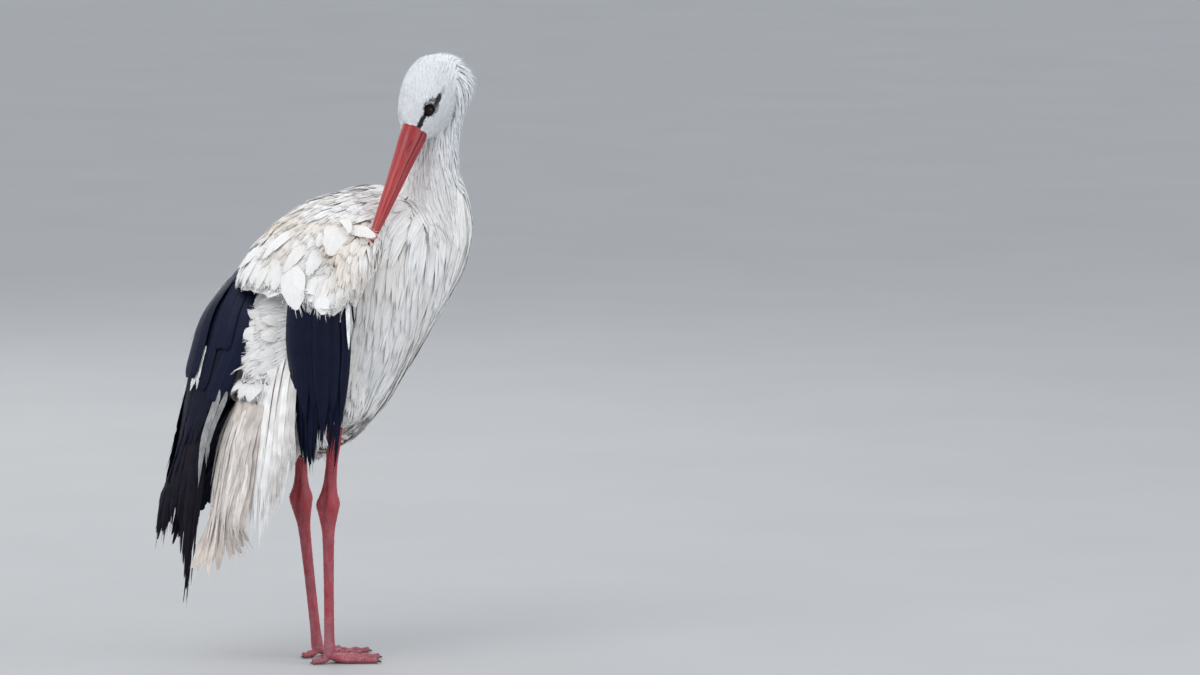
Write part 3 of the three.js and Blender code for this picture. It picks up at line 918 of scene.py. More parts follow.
# ---- floor, light and camera
VIEW_TURN, VIEW_RISE = math.radians(33), math.radians(6)
VIEW_SCALE = 0.77  # pixels of the frame for a millimetre
FRAME_SIZE = np.array([1200, 675])
FEET_PIXEL = np.array([323, 660])  # where the point between the feet comes in the frame
SENSOR = 36
CAMERA_AWAY = 12
LIT_HEIGHT = 0.42  # where the lamps point
FLOOR_RADIUS, FLOOR_THICK, FLOOR_GAP = 40, 20, 0.5  # metres, then millimetres
SKY_COLOUR, SKY_STRENGTH = (0.88, 0.93, 1, 1), 0.9
LIGHTS = [  # place, size, power and colour
    ((-2.6, -1.2, 3.4), 3, 66, (1, 0.985, 0.97)),
    ((2.4, -2.6, 2.2), 2.6, 32, (0.95, 0.98, 1)),
    ((0.6, 3.2, 2.6), 2.6, 40, (1, 0.98, 0.95)),
]


def view_axes():
    """The camera's right, its up and the way that it looks."""
    right = np.array([math.cos(VIEW_TURN), -math.sin(VIEW_TURN), 0])
    level = np.array([math.sin(VIEW_TURN), math.cos(VIEW_TURN), 0])
    into = level * math.cos(VIEW_RISE) - [0, 0, math.sin(VIEW_RISE)]
    return right, np.cross(right, into), into


def aimed(name, data, at, way):
    """Puts a camera or a lamp at a place, looking one way."""
    holder = linked(name, data)
    holder.location = at
    holder.rotation_euler = Vector(way).to_track_quat("-Z", "Y").to_euler()
    return holder


def floor_material():
    material, tree, shader = new_material("Floor", roughness=0.9)
    grain = noise_of(tree, object_place(tree), scale=3)
    shade = ranged(tree, grain, 0, 1, low=0.4, high=0.44)
    grey = add_node(tree, "ShaderNodeCombineColor", {i: shade for i in range(3)})
    tree.links.new(grey.outputs[0], shader.inputs["Base Color"])
    return material


class SetStage(bpy.types.Operator):
    """A pale floor, soft studio light and the camera"""
    bl_idname = "stork.set_stage"
    bl_label = "Floor, light and camera"

    def execute(self, context):
        deselect()
        bpy.ops.mesh.primitive_circle_add(vertices=96, radius=FLOOR_RADIUS, fill_type="NGON",
                                          location=(0, 0, -FLOOR_GAP * MM))
        floor = context.active_object
        bpy.ops.object.transform_apply(location=True)
        draw_out(1, -FLOOR_THICK * MM)
        floor.name = "floor"
        floor.data.materials.append(floor_material())
        right, up, into = view_axes()
        across, down = (FRAME_SIZE / 2 - FEET_PIXEL) / VIEW_SCALE
        camera = bpy.data.cameras.new("camera")
        camera.sensor_width = SENSOR
        camera.lens = SENSOR * CAMERA_AWAY / (FRAME_SIZE[0] / VIEW_SCALE * MM)
        camera.clip_end = 200
        at = place(right * across - up * down) - into * CAMERA_AWAY
        context.scene.camera = aimed("camera", camera, at, into)
        for i, (at, size, power, colour) in enumerate(LIGHTS):
            lamp = bpy.data.lights.new(f"soft_{i}", "AREA")
            lamp.shape, lamp.size, lamp.energy, lamp.color = "DISK", size, power, colour
            aimed(lamp.name, lamp, at, Vector((0, 0, LIT_HEIGHT)) - Vector(at))
        context.scene.view_settings.view_transform = "Standard"
        world = bpy.data.worlds.new("studio")
        context.scene.world = world
        world.use_nodes = True
        sky = world.node_tree.nodes["Background"]
        sky.inputs["Color"].default_value = SKY_COLOUR
        sky.inputs["Strength"].default_value = SKY_STRENGTH
        return {"FINISHED"}


# ---- bill, eyes and claws
BILL_ROWS = [  # share of its length, culmen, keel, half width
    (-0.05, 18.3, -17, 15.2), (0.05, 17.4, -16.6, 14.4), (0.15, 15.3, -15.1, 12.9),
    (0.28, 13.1, -13.3, 11.2), (0.41, 11.2, -11.5, 9.6), (0.54, 9.5, -9.6, 8.2), (0.67, 7.8, -7.6, 6.7),
    (0.78, 6.1, -5.7, 5.3), (0.88, 4.4, -3.7, 3.9), (0.95, 2.9, -1.9, 2.6), (1, 1.3, -0.3, 0.9),
]
NOSTRIL_AT = 26  # from the foot of the bill to the middle of the nostril
CRIMSON = (0.3, 0.004, 0.01)
ORANGE = (0.36, 0.014, 0.016)
BILL_TIP = (0.42, 0.05, 0.035)
BILL_SCUFF = (0.42, 0.1, 0.1)
BILL_DARK = (0.05, 0.008, 0.01)
CORNEA = 0.55  # how far it stands out of the eyeball
PUPIL = 0.003
IRIS = (0.014, 0.007, 0.004)
IRIS_RING = (0.008, 0.004, 0.002)
CLAW_BROWN = (0.085, 0.045, 0.04)


def bill_section(s):
    """Culmen, keel, half width and mouth height at shares of the bill's length."""
    table = np.array(BILL_ROWS)
    fine = curve_through(table, np.linspace(0, 1, 200))
    up, low, half = (np.interp(s, fine[:, 0], fine[:, i]) for i in (1, 2, 3))
    mouth = -2.2 + 2.4 * smooth_step(s / 0.25) - 0.1 * s
    return up, low, half, mouth


def bill_half(name, upper):
    """One mandible: a ridged outer curve, a sharp cutting edge and a hollow inner face."""
    count, outer, inner = 84, 34, 10
    s = -0.05 + 1.05 * np.linspace(0, 1, count) ** 0.93
    up, low, half, mouth = bill_section(s)
    rings = np.zeros((count, outer + inner, 3))
    rings[..., 0] = (BILL_BASE + BILL_LENGTH * s)[:, None]
    a = np.linspace(0, math.pi, outer)
    reach = up - mouth if upper else mouth - low
    ridge = 0.9 if upper else 0.98
    y = np.sign(np.cos(a)) * np.abs(np.cos(a)) ** ridge
    z = np.sin(a) ** (0.86 if upper else 0.8)
    rings[:, :outer, 1] = half[:, None] * y
    rings[:, :outer, 2] = reach[:, None] * z
    b = np.linspace(-1, 1, inner + 2)[1:-1]
    rings[:, outer:, 1] = half[:, None] * b * 0.93
    rings[:, outer:, 2] = reach[:, None] * 0.14 * (1 - b ** 2) + 0.15
    if upper:  # nostril slits, and a groove that runs on from them
        side = rings[:, :outer]
        length = side[..., 0] - BILL_BASE
        high = side[..., 2] / reach[:, None]
        slit = hill((length - NOSTRIL_AT) / 8.5, 4) * hill((high - 0.5) / 0.085)
        groove = hill((length - 44) / 34, 4) * hill((high - 0.46) / 0.16)
        side[..., 1] *= 1 - 0.17 * slit - 0.045 * groove
    if not upper:
        rings[..., 2] *= -1
    rings[..., 2] += mouth[:, None] + (0.12 if upper else -0.12)
    scratches = noise_at((rings * [0.04, 0.9, 0.9]).reshape(-1, 3)).reshape(rings.shape[:2])
    rings[:, :outer, 1] += scratches[:, :outer] * 0.22 * np.sign(rings[:, :outer, 1])
    flip = slice(None, None, -1) if upper else slice(None)
    return drawn_tube(name, on_head(rings[:, flip]))


def bill_tint(points):
    """Crimson, more orange to the tip, scuffed, with painted shade at the seam and the nostrils, dark at the
    gape.
    """
    x, y, z = off_head(points).T
    s = (x - BILL_BASE) / BILL_LENGTH
    _, _, half, mouth = bill_section(s)
    colour = blend(CRIMSON, ORANGE, smooth_step(s / 0.5)[:, None])
    colour = blend(colour, BILL_TIP, smooth_step((s - 0.62) / 0.34)[:, None] * 0.7)
    streaks = noise_at(off_head(points) * [0.02, 0.55, 0.55] + [0, 0, 4])
    pale = smooth_step((streaks - 0.05) / 0.4) * smooth_step((s - 0.02) / 0.1) * 0.18
    colour = blend(colour, BILL_SCUFF, pale[:, None])
    # Painted shade along the seam between the mandibles and in the nostril slits; the gape's dark mark is its
    # own.
    seam = hill((z - mouth) / 0.55) * (np.abs(y) > half * 0.8)
    slit = np.exp(-((x - BILL_BASE - NOSTRIL_AT) / 8) ** 4 - ((z - mouth - 8.4) / 1.1) ** 2)
    gape = np.exp(-(((x - BILL_BASE - 3.5) / 3.4) ** 2 + ((z + 9.5) / 2.6) ** 2))
    dark = np.clip(seam * 0.55 + slit * 0.8 * (np.abs(y) > 3) + gape * 0.9, 0, 0.93)
    return blend(colour, BILL_DARK, dark[:, None])


@made_once("materials")
def bill_material(name):
    """Horn with fine lines along it, less glossy where they are light."""
    material, tree, shader = new_material(
        name, roughness=0.36, coat_weight=0.12, coat_roughness=0.25, subsurface_weight=0.06,
        subsurface_scale=0.003, subsurface_radius=(1, 0.3, 0.2))
    along = add_node(tree, "ShaderNodeMapping", {"Vector": object_place(tree)}, vector_type="TEXTURE")
    along.inputs["Rotation"].default_value = Vector(BILL_WAY).to_track_quat("X", "Z").to_euler()
    along.inputs["Scale"].default_value = (0.035, 0.0016, 0.0016)
    lines = noise_of(tree, along.outputs[0], scale=1, detail=4)
    tinted(tree, shader, lines, low=0.82, high=1.16)
    rough = ranged(tree, lines, 0.3, 0.7, low=0.28, high=0.5)
    tree.links.new(rough, shader.inputs["Roughness"])
    bumped(tree, shader, lines, strength=0.35, distance=0.0004)
    return material


class MakeBill(bpy.types.Operator):
    """The two mandibles with their ridge, nostrils and cutting edges"""
    bl_idname = "stork.make_bill"
    bl_label = "Bill"

    def execute(self, context):
        for name, upper in (("bill_upper", True), ("bill_lower", False)):
            half = bill_half(name + "_horn", upper)
            paint(half.data, "Tint", bill_tint(coordinates(half.data)))
            half.data.materials.append(bill_material("Bill horn"))
            finish_piece(half, name + "_horn", "bill", name)
        return {"FINISHED"}


@made_once("materials")
def eye_material(name):
    material, tree, shader = new_material(name, roughness=0.14, coat_weight=0.14, coat_roughness=0.03,
                                          specular_ior_level=0.12)
    flecks = noise_of(tree, object_place(tree), scale=1800, detail=3)
    tinted(tree, shader, flecks, low=0.6, high=1.5, start=0.3, end=0.7)
    return material


class MakeEyes(bpy.types.Operator):
    """Two glossy eyes with a clear bulge, a dark iris and a black pupil"""
    bl_idname = "stork.make_eyes"
    bl_label = "Eyes"

    def execute(self, context):
        for side, sign in SIDE.items():
            deselect()
            bpy.ops.mesh.primitive_uv_sphere_add(segments=48, ring_count=40, radius=1)
            eye = context.active_object
            co = coordinates(eye.data)
            off_axis = np.degrees(np.arccos(np.clip(co[:, 2], -1, 1)))
            bulge = EYE_RADIUS + CORNEA * hill(off_axis / 26)
            look = EYE_LOOK * [1, sign, 1]
            first = unit(np.cross([0, 0, 1], look))
            second = np.cross(look, first)
            shaped = (co[:, :1] * first + co[:, 1:2] * second + co[:, 2:] * look) * bulge[:, None]
            set_coordinates(eye.data, on_head(EYE_SPOT * [1, sign, 1] + shaped))
            iris = hill((off_axis - 29) / 9.5, 4)[:, None] * IRIS
            ring = hill((off_axis - 27) / 5)[:, None] * IRIS_RING
            paint(eye.data, "Tint", PUPIL + iris + ring)
            tidy_mesh(eye.data)
            shade_smooth(eye.data)
            eye.data.materials.append(eye_material("Eye"))
            finish_piece(eye, f"eyeball_{side}", "eye", f"eye_{side}")
        return {"FINISHED"}


class MakeClaws(bpy.types.Operator):
    """Eight short flat nails, one at the end of each toe"""
    bl_idname = "stork.make_claws"
    bl_label = "Claws"

    def execute(self, context):
        for side in SIDE:
            foot = np.array(FOOT[side])
            for toe in TOES:
                node = f"claw_{side}_{toe}"
                way, cross, length = toe_ways(side, toe)
                reach, half = (8.5, 2.6) if toe == "hind" else (11, 3.1)
                rows = []
                for s in np.linspace(0, 1, 9):
                    wide = half * math.sqrt(max(1 - s ** 2.4, 0.004)) + 0.18
                    at = foot * [1, 1, 0] + way * (length - 5 + reach * s)
                    rows.append([*(at + [0, 0, 3.7 - 2.2 * s ** 1.7]), wide, wide * (0.74 - 0.2 * s)])
                claw = tube(node, rows, sides=16, steps=26, side=cross)
                co = coordinates(claw.data)
                co[:, 2] = np.maximum(co[:, 2], place([0, 0, 0.05])[2])
                set_coordinates(claw.data, co)
                far = (unplace(co) - foot) @ way - length
                paint(claw.data, "Tint", CLAW_BROWN * (1.1 - 0.55 * smooth_step(far / 8))[:, None])
                claw.data.materials.append(claw_horn())
                finish_piece(claw, f"nail_{side}_{toe}", "claw", node)
        return {"FINISHED"}


# ---- laying feathers on the skin
MOST_TRIANGLES = 199000  # in one coat piece
MOST_BEND = 0.62  # cosine of the turn of the skin that a feather can't follow
FOLLOWS = 0.35  # how far a feather turns to the lie of the plumage at each step
UNEVEN = 0.15  # how much the feathers of one region differ in length
ALMOST_STRAIGHT = 0.72  # least share of its length from a kept feather's root to its tip
CLEAR_OF_SKIN = 0.021  # a tip that stands farther off, in metres, is left out
PATCH = 0.003  # side of a plume's patch on the skin's unwrap
HAIR_THICK = 0.12 * MM
STRAND_GAP = 0.2 * MM  # how far each strand of a plume lies over the one before
ROOT_DEPTH = 0.6 * MM  # how far a root lies in the skin
STRAND = np.array([(-1, 0, 0), (0, 0, 1), (1, 0, 0), (0, 0, -1)], float)  # across, camber, face
VANE = np.array([(-1, 1, 0), (-0.5, 0.25, 1), (0, 0, 1.6), (0.5, 0.25, 1),
                 (1, 1, 0), (0.5, 0.25, -1), (0, 0, -1), (-0.5, 0.25, -1)], float)
LIES = [  # the lie of the body plumage: a place and a way, in drawn millimetres
    (98, 0, 611, -0.9, 0, -0.4), (20, 0, 590, -0.88, 0, -0.48), (-60, 0, 520, -0.75, 0, -0.65),
    (-100, 0, 450, -0.45, 0, -0.9), (-112, 0, 350, -0.2, 0, -1), (150, -60, 520, -0.16, 0, -0.98),
    (150, 60, 520, -0.16, 0, -0.98), (60, -85, 460, -0.16, 0, -0.98), (60, 85, 460, -0.16, 0, -0.98),
    (-30, -85, 400, -0.22, 0, -0.97), (-30, 85, 400, -0.22, 0, -0.97), (165, 0, 450, -0.5, 0, -0.86),
    (100, 0, 380, -0.7, 0, -0.7), (40, 0, 320, -0.8, 0, -0.6), (-60, 0, 270, -0.7, 0, -0.7),
    (200, 0, 560, -0.1, 0, -1), (-100, 0, 240, -0.3, 0, -1),
]


BREAST_LINE = np.array([  # down the front of the breast, its plumes' own way
    [160, -6, 655], [186, -8, 626], [189, -10, 585], [184, -12, 540], [162, -16, 490], [130, -24, 445],
    [104, -30, 402], [86, -34, 366]], float)


def body_lie(points, region):
    """The way the feathers lie at each point, before it is turned into the skin's own plane."""
    guides = np.array(LIES)
    away = ((unplace(points)[:, None] - guides[None, :, :3]) ** 2).sum(-1)
    weight = np.exp(-away / 60 ** 2) + 1e-9 / (1 + away)
    return unit(weight @ guides[:, 3:])


def ruffled_lie(points, region):
    """The rump's fluffed plumes point sideways to the left wing."""
    low = smooth_step((430 - unplace(points)[:, 2]) / 150)[:, None]
    return unit(blend([-0.2, 0.85, -0.5], [-0.2, 0.3, -0.95], low))


def leg_lie(points, region):
    """Down to a little below the ankle of the same side."""
    drawn = unplace(points)
    ankle = np.where(drawn[:, 1:2] > 0, ANKLE["left"], ANKLE["right"])
    return unit(ankle + [0, 0, -60] - drawn)


def head_lie(points, region):
    """Back from the bill over the whole head, then down the neck from the nape."""
    drawn = unplace(points)
    back = (off_head(points) - [62, 0, 0]) @ HEAD_TURN
    nape = unit(drawn - [150, -25, 792]) + [0, 0, -0.7]
    to_neck = smooth_step((775 - drawn[:, 2]) / 60)[:, None]
    neck_way = blend(unit(nape), [0.02, 0, -1], to_neck)
    on_neck = (region == FLESH.index("neck"))[:, None]
    return unit(blend(unit(back), neck_way, on_neck))


def breast_lie(points, region):
    z = unplace(points)[:, 2]
    steps = np.diff(BREAST_LINE, axis=0)
    return unit(np.stack([np.interp(-z, -BREAST_LINE[:-1, 2], steps[:, i]) for i in range(3)], 1))


def wing_lie(points, region):
    """Down and back along a folded wing, steeper to its lower edge."""
    high = smooth_step((unplace(points)[:, 2] - 380) / 170)[:, None]
    steep = blend([-0.66, 0, -0.75], [-0.72, 0, -0.69], high)
    right = (region == FLESH.index("wing_right_coverts"))[:, None]
    return unit(np.where(right, [-0.38, -0.12, -0.92], steep))


def nearest_skin(points):
    """The closest point of the skin and its smooth normal there."""
    tree, normal = HIDE["tree"], HIDE["normal"]
    at, face = np.empty_like(points), np.empty(len(points), int)
    for i, p in enumerate(points):
        hit = tree.find_nearest(Vector(p))
        at[i], face[i] = hit[0], hit[2]
    return at, normal[face], face


def thinned(points, spacing):
    """Which of the points are kept, in their order, so that none is closer to another than spacing."""
    cells, kept = {}, []
    near = list(product((-1, 0, 1), repeat=3))
    keys = np.floor(points / spacing).astype(int).tolist()
    for i, ((x, y, z), (px, py, pz)) in enumerate(zip(keys, points.tolist())):
        beside = (q for dx, dy, dz in near for q in cells.get((x + dx, y + dy, z + dz), ()))
        if all((px - q[0]) ** 2 + (py - q[1]) ** 2 + (pz - q[2]) ** 2 >= spacing ** 2 for q in beside):
            cells.setdefault((x, y, z), []).append((px, py, pz))
            kept.append(i)
    return kept


def scatter(regions, spacing, rng, allowed=None):
    """Random roots on some regions of the skin, none closer together than spacing."""
    _, coat = settings()
    spacing = spacing * MM / math.sqrt(coat.density)
    faces = np.flatnonzero(np.isin(HIDE["region"], [FLESH.index(r) for r in regions]))
    area = HIDE["area"][faces]
    count = int(area.sum() / spacing ** 2 * 2.2)
    picked = rng.choice(faces, count, p=area / area.sum())
    u, v = rng.random((2, count, 1))
    over = u + v > 1
    u, v = np.where(over, 1 - u, u), np.where(over, 1 - v, v)
    a, b, c = (HIDE["co"][HIDE["tri"][picked, i]] for i in range(3))
    points = a + (b - a) * u + (c - a) * v
    if allowed is not None:
        keep = allowed(points)
        points, picked = points[keep], picked[keep]
    kept = thinned(points, spacing)
    return points[kept], picked[kept]


def lay_over(points, faces, lie, lengths, steps, yaw, stiff, free):
    """Marches from each root over the skin: the points, ways and ups of each feather.

    A feather leaves the skin and runs on straight where the skin turns away from under it, or has
    turned from the root's own way up by more than the cosine free.
    """
    up = HIDE["normal"][faces]
    region = HIDE["region"][faces]
    way = tangent(lie(points, region), up)
    way = unit(turned(way, np.cross(up, way), yaw[:, None])[0])
    at = points
    line, ways, ups = [at], [way], [up]
    pace = (lengths / (steps - 1))[:, None]
    loose, first = np.zeros((len(points), 1)), up
    for _ in range(1, steps):
        ahead = at + way * pace
        on_skin, normal, hit_face = nearest_skin(ahead)
        gap = ((ahead - on_skin) * normal).sum(-1, keepdims=True)
        away = np.minimum((normal * up).sum(-1, keepdims=True) - MOST_BEND,
                          (normal * first).sum(-1, keepdims=True) - free)
        loose = np.maximum(loose, smooth_step(-away / 0.25)) * (gap > -0.0005)
        at = blend(on_skin + normal * np.maximum(gap, 0) * stiff, ahead, loose)
        up = unit(blend(normal * (1 - stiff * 0.6) + up * stiff * 0.6, up, loose))
        wanted = tangent(lie(at, HIDE["region"][hit_face]), up)
        way = tangent(blend(way, wanted, FOLLOWS * (1 - loose)) + loose * [0, 0, -0.1], up)
        line.append(at)
        ways.append(way)
        ups.append(up)
    return np.stack(line, 1), np.stack(ways, 1), np.stack(ups, 1)


def lance(t):
    """Half widths of a feather's outline at shares t of its length; lance-shaped."""
    return np.sin(math.pi * np.clip(t, 0, 1) ** 0.7) ** 0.8


def end_from(t, start, power):
    """One down to a place, then falling to nothing at the tip."""
    return np.clip(1 - np.clip((t - start) / (1 - start), 0, 1) ** power, 0, 1)


def rounded(t):
    return smooth_step(t / 0.4) ** 0.6 * np.sqrt(end_from(t, 0.62, 2.2))


def petal(t):
    return smooth_step(t / 0.45) ** 0.7 * end_from(t, 0.5, 2.1) ** 0.72


def solid_vanes(line, across, up, half, section, thick, camber, sweep=0):
    """Closed feathers from their middle lines: corners, faces and the place of each corner.

    line, across and up are (n, k, 3), half is (n, k) or (n, k, 2) for the two sides; both ends
    run to a point. Places are millimetres across and along, and shares for a patch.
    """
    n, k, _ = line.shape
    m = len(section)
    if half.ndim == 2:
        half = np.stack([half, half], -1)
    side = np.where(section[:, 0] < 0, half[..., :1], half[..., 1:])
    offset = side * section[:, 0]
    lift = -camber * np.abs(side) * section[:, 1] + thick * section[:, 2]
    ring = line[:, :, None] + across[:, :, None] * offset[..., None] + up[:, :, None] * lift[..., None]
    if sweep:
        back = unit(np.gradient(line, axis=1))[:, :, None]
        ring = ring + back * (np.abs(offset) * sweep)[..., None]
    ends = np.stack([line[:, 0] - (line[:, 1] - line[:, 0]) * 0.08,
                     line[:, -1] + (line[:, -1] - line[:, -2]) * 0.35], 1)

    def with_ends(two, rest, width):
        return np.concatenate([two, rest.reshape(n, k * m, width)], 1).reshape(-1, width)

    far = np.linalg.norm(np.diff(line, axis=1), axis=-1)
    far = np.concatenate([np.zeros((n, 1)), np.cumsum(far, 1)], 1)
    along = np.repeat(far[:, :, None], m, 2)
    reach = np.maximum(far[:, -1:], 1e-6)[:, :, None]
    widest = np.maximum(half.max((1, 2)), 1e-6)[:, None, None]
    end_places = np.stack([np.zeros((n, 2)), far[:, [0, -1]]], -1)
    end_shares = np.tile([[0.5, 0], [0.5, 1]], (n, 1, 1))
    shares = np.stack([0.5 + 0.5 * offset / widest, along / reach], -1)
    r, c = np.meshgrid(np.arange(k - 1), np.arange(m), indexing="ij")
    nxt = (c + 1) % m
    quads = 2 + np.stack([r * m + c, r * m + nxt, (r + 1) * m + nxt, (r + 1) * m + c], -1).reshape(-1, 4)
    c = np.arange(m)
    nxt = (c + 1) % m
    last = 2 + (k - 1) * m
    tips = np.concatenate([np.stack([np.zeros(m, int), 2 + nxt, 2 + c], -1),
                           np.stack([np.ones(m, int), last + c, last + nxt], -1)])
    step = (np.arange(n) * (2 + k * m))[:, None, None]
    rim = np.concatenate([[True, True], np.tile(np.abs(section[:, 0]) == 1, k)])
    t = np.concatenate([[0, 1], np.repeat(np.linspace(0, 1, k), m)])
    return {"co": with_ends(ends, ring, 3), "rim": np.tile(rim, n), "t": np.tile(t, n), "each": 2 + k * m,
            "quads": (quads[None] + step).reshape(-1, 4), "tris": (tips[None] + step).reshape(-1, 3),
            "vane": with_ends(end_places, np.stack([offset, along], -1), 2) / MM,
            "share": with_ends(end_shares, shares, 2)}


def merge_vanes(sets):
    """Several sets of vanes as one: corners, faces, places and colours."""
    starts = np.cumsum([0] + [len(made["co"]) for made in sets])
    merged = {key: np.concatenate([made[key] + at for made, at in zip(sets, starts)])
              for key in ("quads", "tris")}
    for key in ("co", "vane", "bake", "tint", "rim"):
        merged[key] = np.concatenate([made[key] for made in sets])
    return merged


def sharp_rims(mesh, rim):
    """A feather's two faces meet in a sharp edge, so that each is shaded flat to its rim."""
    sharp = mesh.attributes.new("sharp_edge", "BOOLEAN", "EDGE")
    sharp.data.foreach_set("value", rim[read(mesh.edges, "vertices", 2, np.int32)].all(1))


def coat_piece(name, sets, material, *nodes, slot="white_feather"):
    """One coat object from sets of vanes, with its maps and its painted tint."""
    all_of = merge_vanes(sets)
    triangles = 2 * len(all_of["quads"]) + len(all_of["tris"])
    if triangles > MOST_TRIANGLES:
        raise RuntimeError(f"{name} has {triangles} triangles")
    obj = mesh_object(name, all_of["co"], all_of["quads"], all_of["tris"])
    sharp_rims(obj.data, all_of["rim"])
    add_map(obj.data, "OFBake", all_of["bake"])
    add_map(obj.data, "Vane", all_of["vane"])
    paint(obj.data, "Tint", np.clip(all_of["tint"], 0, 1))
    obj.data.materials.append(material)
    finish_piece(obj, name, slot, *nodes)


def along_at(rows, t):
    """Rows of points read at shares t of their length."""
    spot = t * (rows.shape[1] - 1)
    i = np.minimum(spot.astype(int), rows.shape[1] - 2)
    share = (spot - i)[None, :, None]
    return blend(rows[:, i], rows[:, i + 1], share)


# Keywords of grow: white plumes of fine strands, and feathers that leave the skin at its rim.
SOFT = {"tone": 0.035, "thick": 0.11}
OVER_RIM = {"stiff": 0.5, "rim": 0.25, "free": 0.72, "most_up": 0.25}


def grow(rng, regions, spacing, length, width, lie, depth, steps=6, shape=lance, section=STRAND, strands=1,
         rim=2, fan=0, meet=0, stiff=0.2, yaw=0.09, roll=0.1, allowed=None, ruffle=None, tone=0.05,
         camber=0.12, thick=0.22, shade=0.95, hairs=0, cover=1.9, free=-1, most_up=2, laid=None):
    """Feathers all over some regions of the skin, as one set of closed vanes.

    Sizes are in millimetres; length, depth and ruffle may be functions of the drawn place.
    """
    def of_place(value):
        return value(drawn) if callable(value) else np.full(len(drawn), float(value))

    if laid is None:
        roots, faces = scatter(regions, spacing, rng, allowed)
        facing = (lie(roots, HIDE["region"][faces]) * HIDE["normal"][faces]).sum(1)
        roots, faces = roots[facing < rim], faces[facing < rim]
        drawn = unplace(roots)
        long = of_place(length) * (1 + UNEVEN * rng.uniform(-1, 1, len(roots))) * MM
        yaws = rng.normal(0, yaw, len(roots))
        line, ways, ups = lay_over(roots, faces, lie, long, steps, yaws, stiff, free)
        whole = line[:, -1] - line[:, 0]
        off = np.linalg.norm(nearest_skin(line[:, -1])[0] - line[:, -1], axis=1)
        straight = np.linalg.norm(whole, axis=1) > ALMOST_STRAIGHT * long
        keep = straight & (whole[:, 2] < most_up * long) & (off < CLEAR_OF_SKIN)
        roots, faces, line, ways, ups = (part[keep] for part in (roots, faces, line, ways, ups))
    else:
        line, ways, ups, faces = laid
        roots = line[:, 0]
    drawn = unplace(roots)
    n = len(roots)
    t = 1 - (1 - np.linspace(0, 1, steps)) ** 1.5  # closer rings towards the tip
    line, ways, ups = (along_at(part, t) for part in (line, ways, ups))
    rise = of_place(depth) * MM * (1 + 0.1 * rng.uniform(-1, 1, n))
    lifted = rise[:, None] * (t ** 0.42)[None] - ROOT_DEPTH * (1 - t)[None]
    if ruffle is not None:
        lifted = lifted + (of_place(ruffle) * MM * rng.random(n))[:, None] * (t ** 1.8)[None]
    line = line + ups * lifted[..., None]
    across, ups = turned(unit(np.cross(ways, ups)), ups, rng.normal(0, roll, n)[:, None, None])
    wide = of_place(width) * MM / 2 * (1 + 0.2 * rng.uniform(-1, 1, n))
    worn = 0.15 * rng.random((n, steps, 2)) * smooth_step((t - 0.35) / 0.3)[None, :, None]
    worn = 1 - worn * (section is VANE)
    tint = markings(roots) * (1 + rng.normal(0, tone, (n, 1)))
    sets = []

    def add(tint, path, side, top, half, form, thickness, bend, start=0):
        made = solid_vanes(path, side, top, half, form, thickness, bend)
        made["bake"] = np.repeat(HIDE["bake"][faces], made["each"], 0) + (made["share"] - 0.5) * PATCH
        # Painted shade: each strand is darker towards its root, where the coat shades it, and warmed as if
        # lit through; hairs take it from partway along.
        root_shade = shade + (1 - shade) * smooth_step((made["t"] * (1 - start) + start) * 1.5)
        warm_root_shade = 1 - (1 - root_shade)[:, None] * np.array([1, 1.25, 1.6])
        made["tint"] = np.repeat(tint, made["each"], 0) * warm_root_shade
        sets.append(made)

    for j in range(strands):
        own_tint = tint * (1 + rng.normal(0, tone, (n, 1)))
        place_on = (j - (strands - 1) / 2) / max(strands - 1, 1) * 2
        out = place_on + rng.normal(0, 0.12, n) if strands > 1 else np.zeros(n)
        spread_t = (fan * t ** 1.3 + meet * np.sin(math.pi * t ** 0.8))[None]
        path = line + across * (out * wide)[:, None, None] * spread_t[..., None]
        shorter = 1 - 0.12 * np.abs(out) * rng.random(n)
        path = path[:, :1] + (path - path[:, :1]) * shorter[:, None, None]
        half = wide[:, None] * shape(0.08 + 0.9 * t)[None] * (1 if strands == 1 else cover / strands)
        side, top = turned(across, ups, rng.normal(0, 0.16 if strands > 1 else 0, n)[:, None, None])
        half = half[..., None] * worn
        add(own_tint, path + ups * (j * STRAND_GAP), side, top, half, section, thick * MM, camber)
    for _ in range(hairs):
        own_tint = tint * (1 + rng.normal(0, tone, (n, 1)))
        path, side, top, half = fringe(rng, line, across, ups, wide, shape, camber)
        add(own_tint, path, side, top, half, STRAND, HAIR_THICK, bend=0, start=0.7)
    return sets


def fringe(rng, line, across, ups, wide, shape, camber, reach=(0.07, 0.17), begin=0.5):
    """One loose barb for each feather, from inside its vane to a little past its edge.

    reach is its length and begin the first place of its root, as shares of the feather's length.
    """
    n, steps, _ = line.shape
    at = rng.uniform(begin, 0.97, n)
    where = rng.choice([-1, 1], n) * rng.uniform(0.3, 1, n)
    spot = at * (steps - 1)
    i = np.minimum(spot.astype(int), steps - 2)
    f = (spot - i)[:, None]
    pick = np.arange(n)
    base = blend(line[pick, i], line[pick, i + 1], f)
    side, top = across[pick, i], ups[pick, i]
    way = unit(line[pick, i + 1] - line[pick, i])
    edge = (wide * shape(at) * where)[:, None]
    long = np.linalg.norm(np.diff(line, axis=1), axis=-1).sum(1)
    far = (rng.uniform(*reach, n) * long)[:, None]
    down = top * -camber * np.abs(edge) * np.abs(where)[:, None]
    root = base + side * edge + down
    out = way * far + side * edge * 0.22
    path = np.stack([root, root + out * 0.55 + down * 0.3, root + out], 1)
    half = np.tile(np.array([0.3, 0.24, 0.06]) * MM, (n, 1))
    return path, np.repeat(side[:, None], 3, 1), np.repeat(top[:, None], 3, 1), half


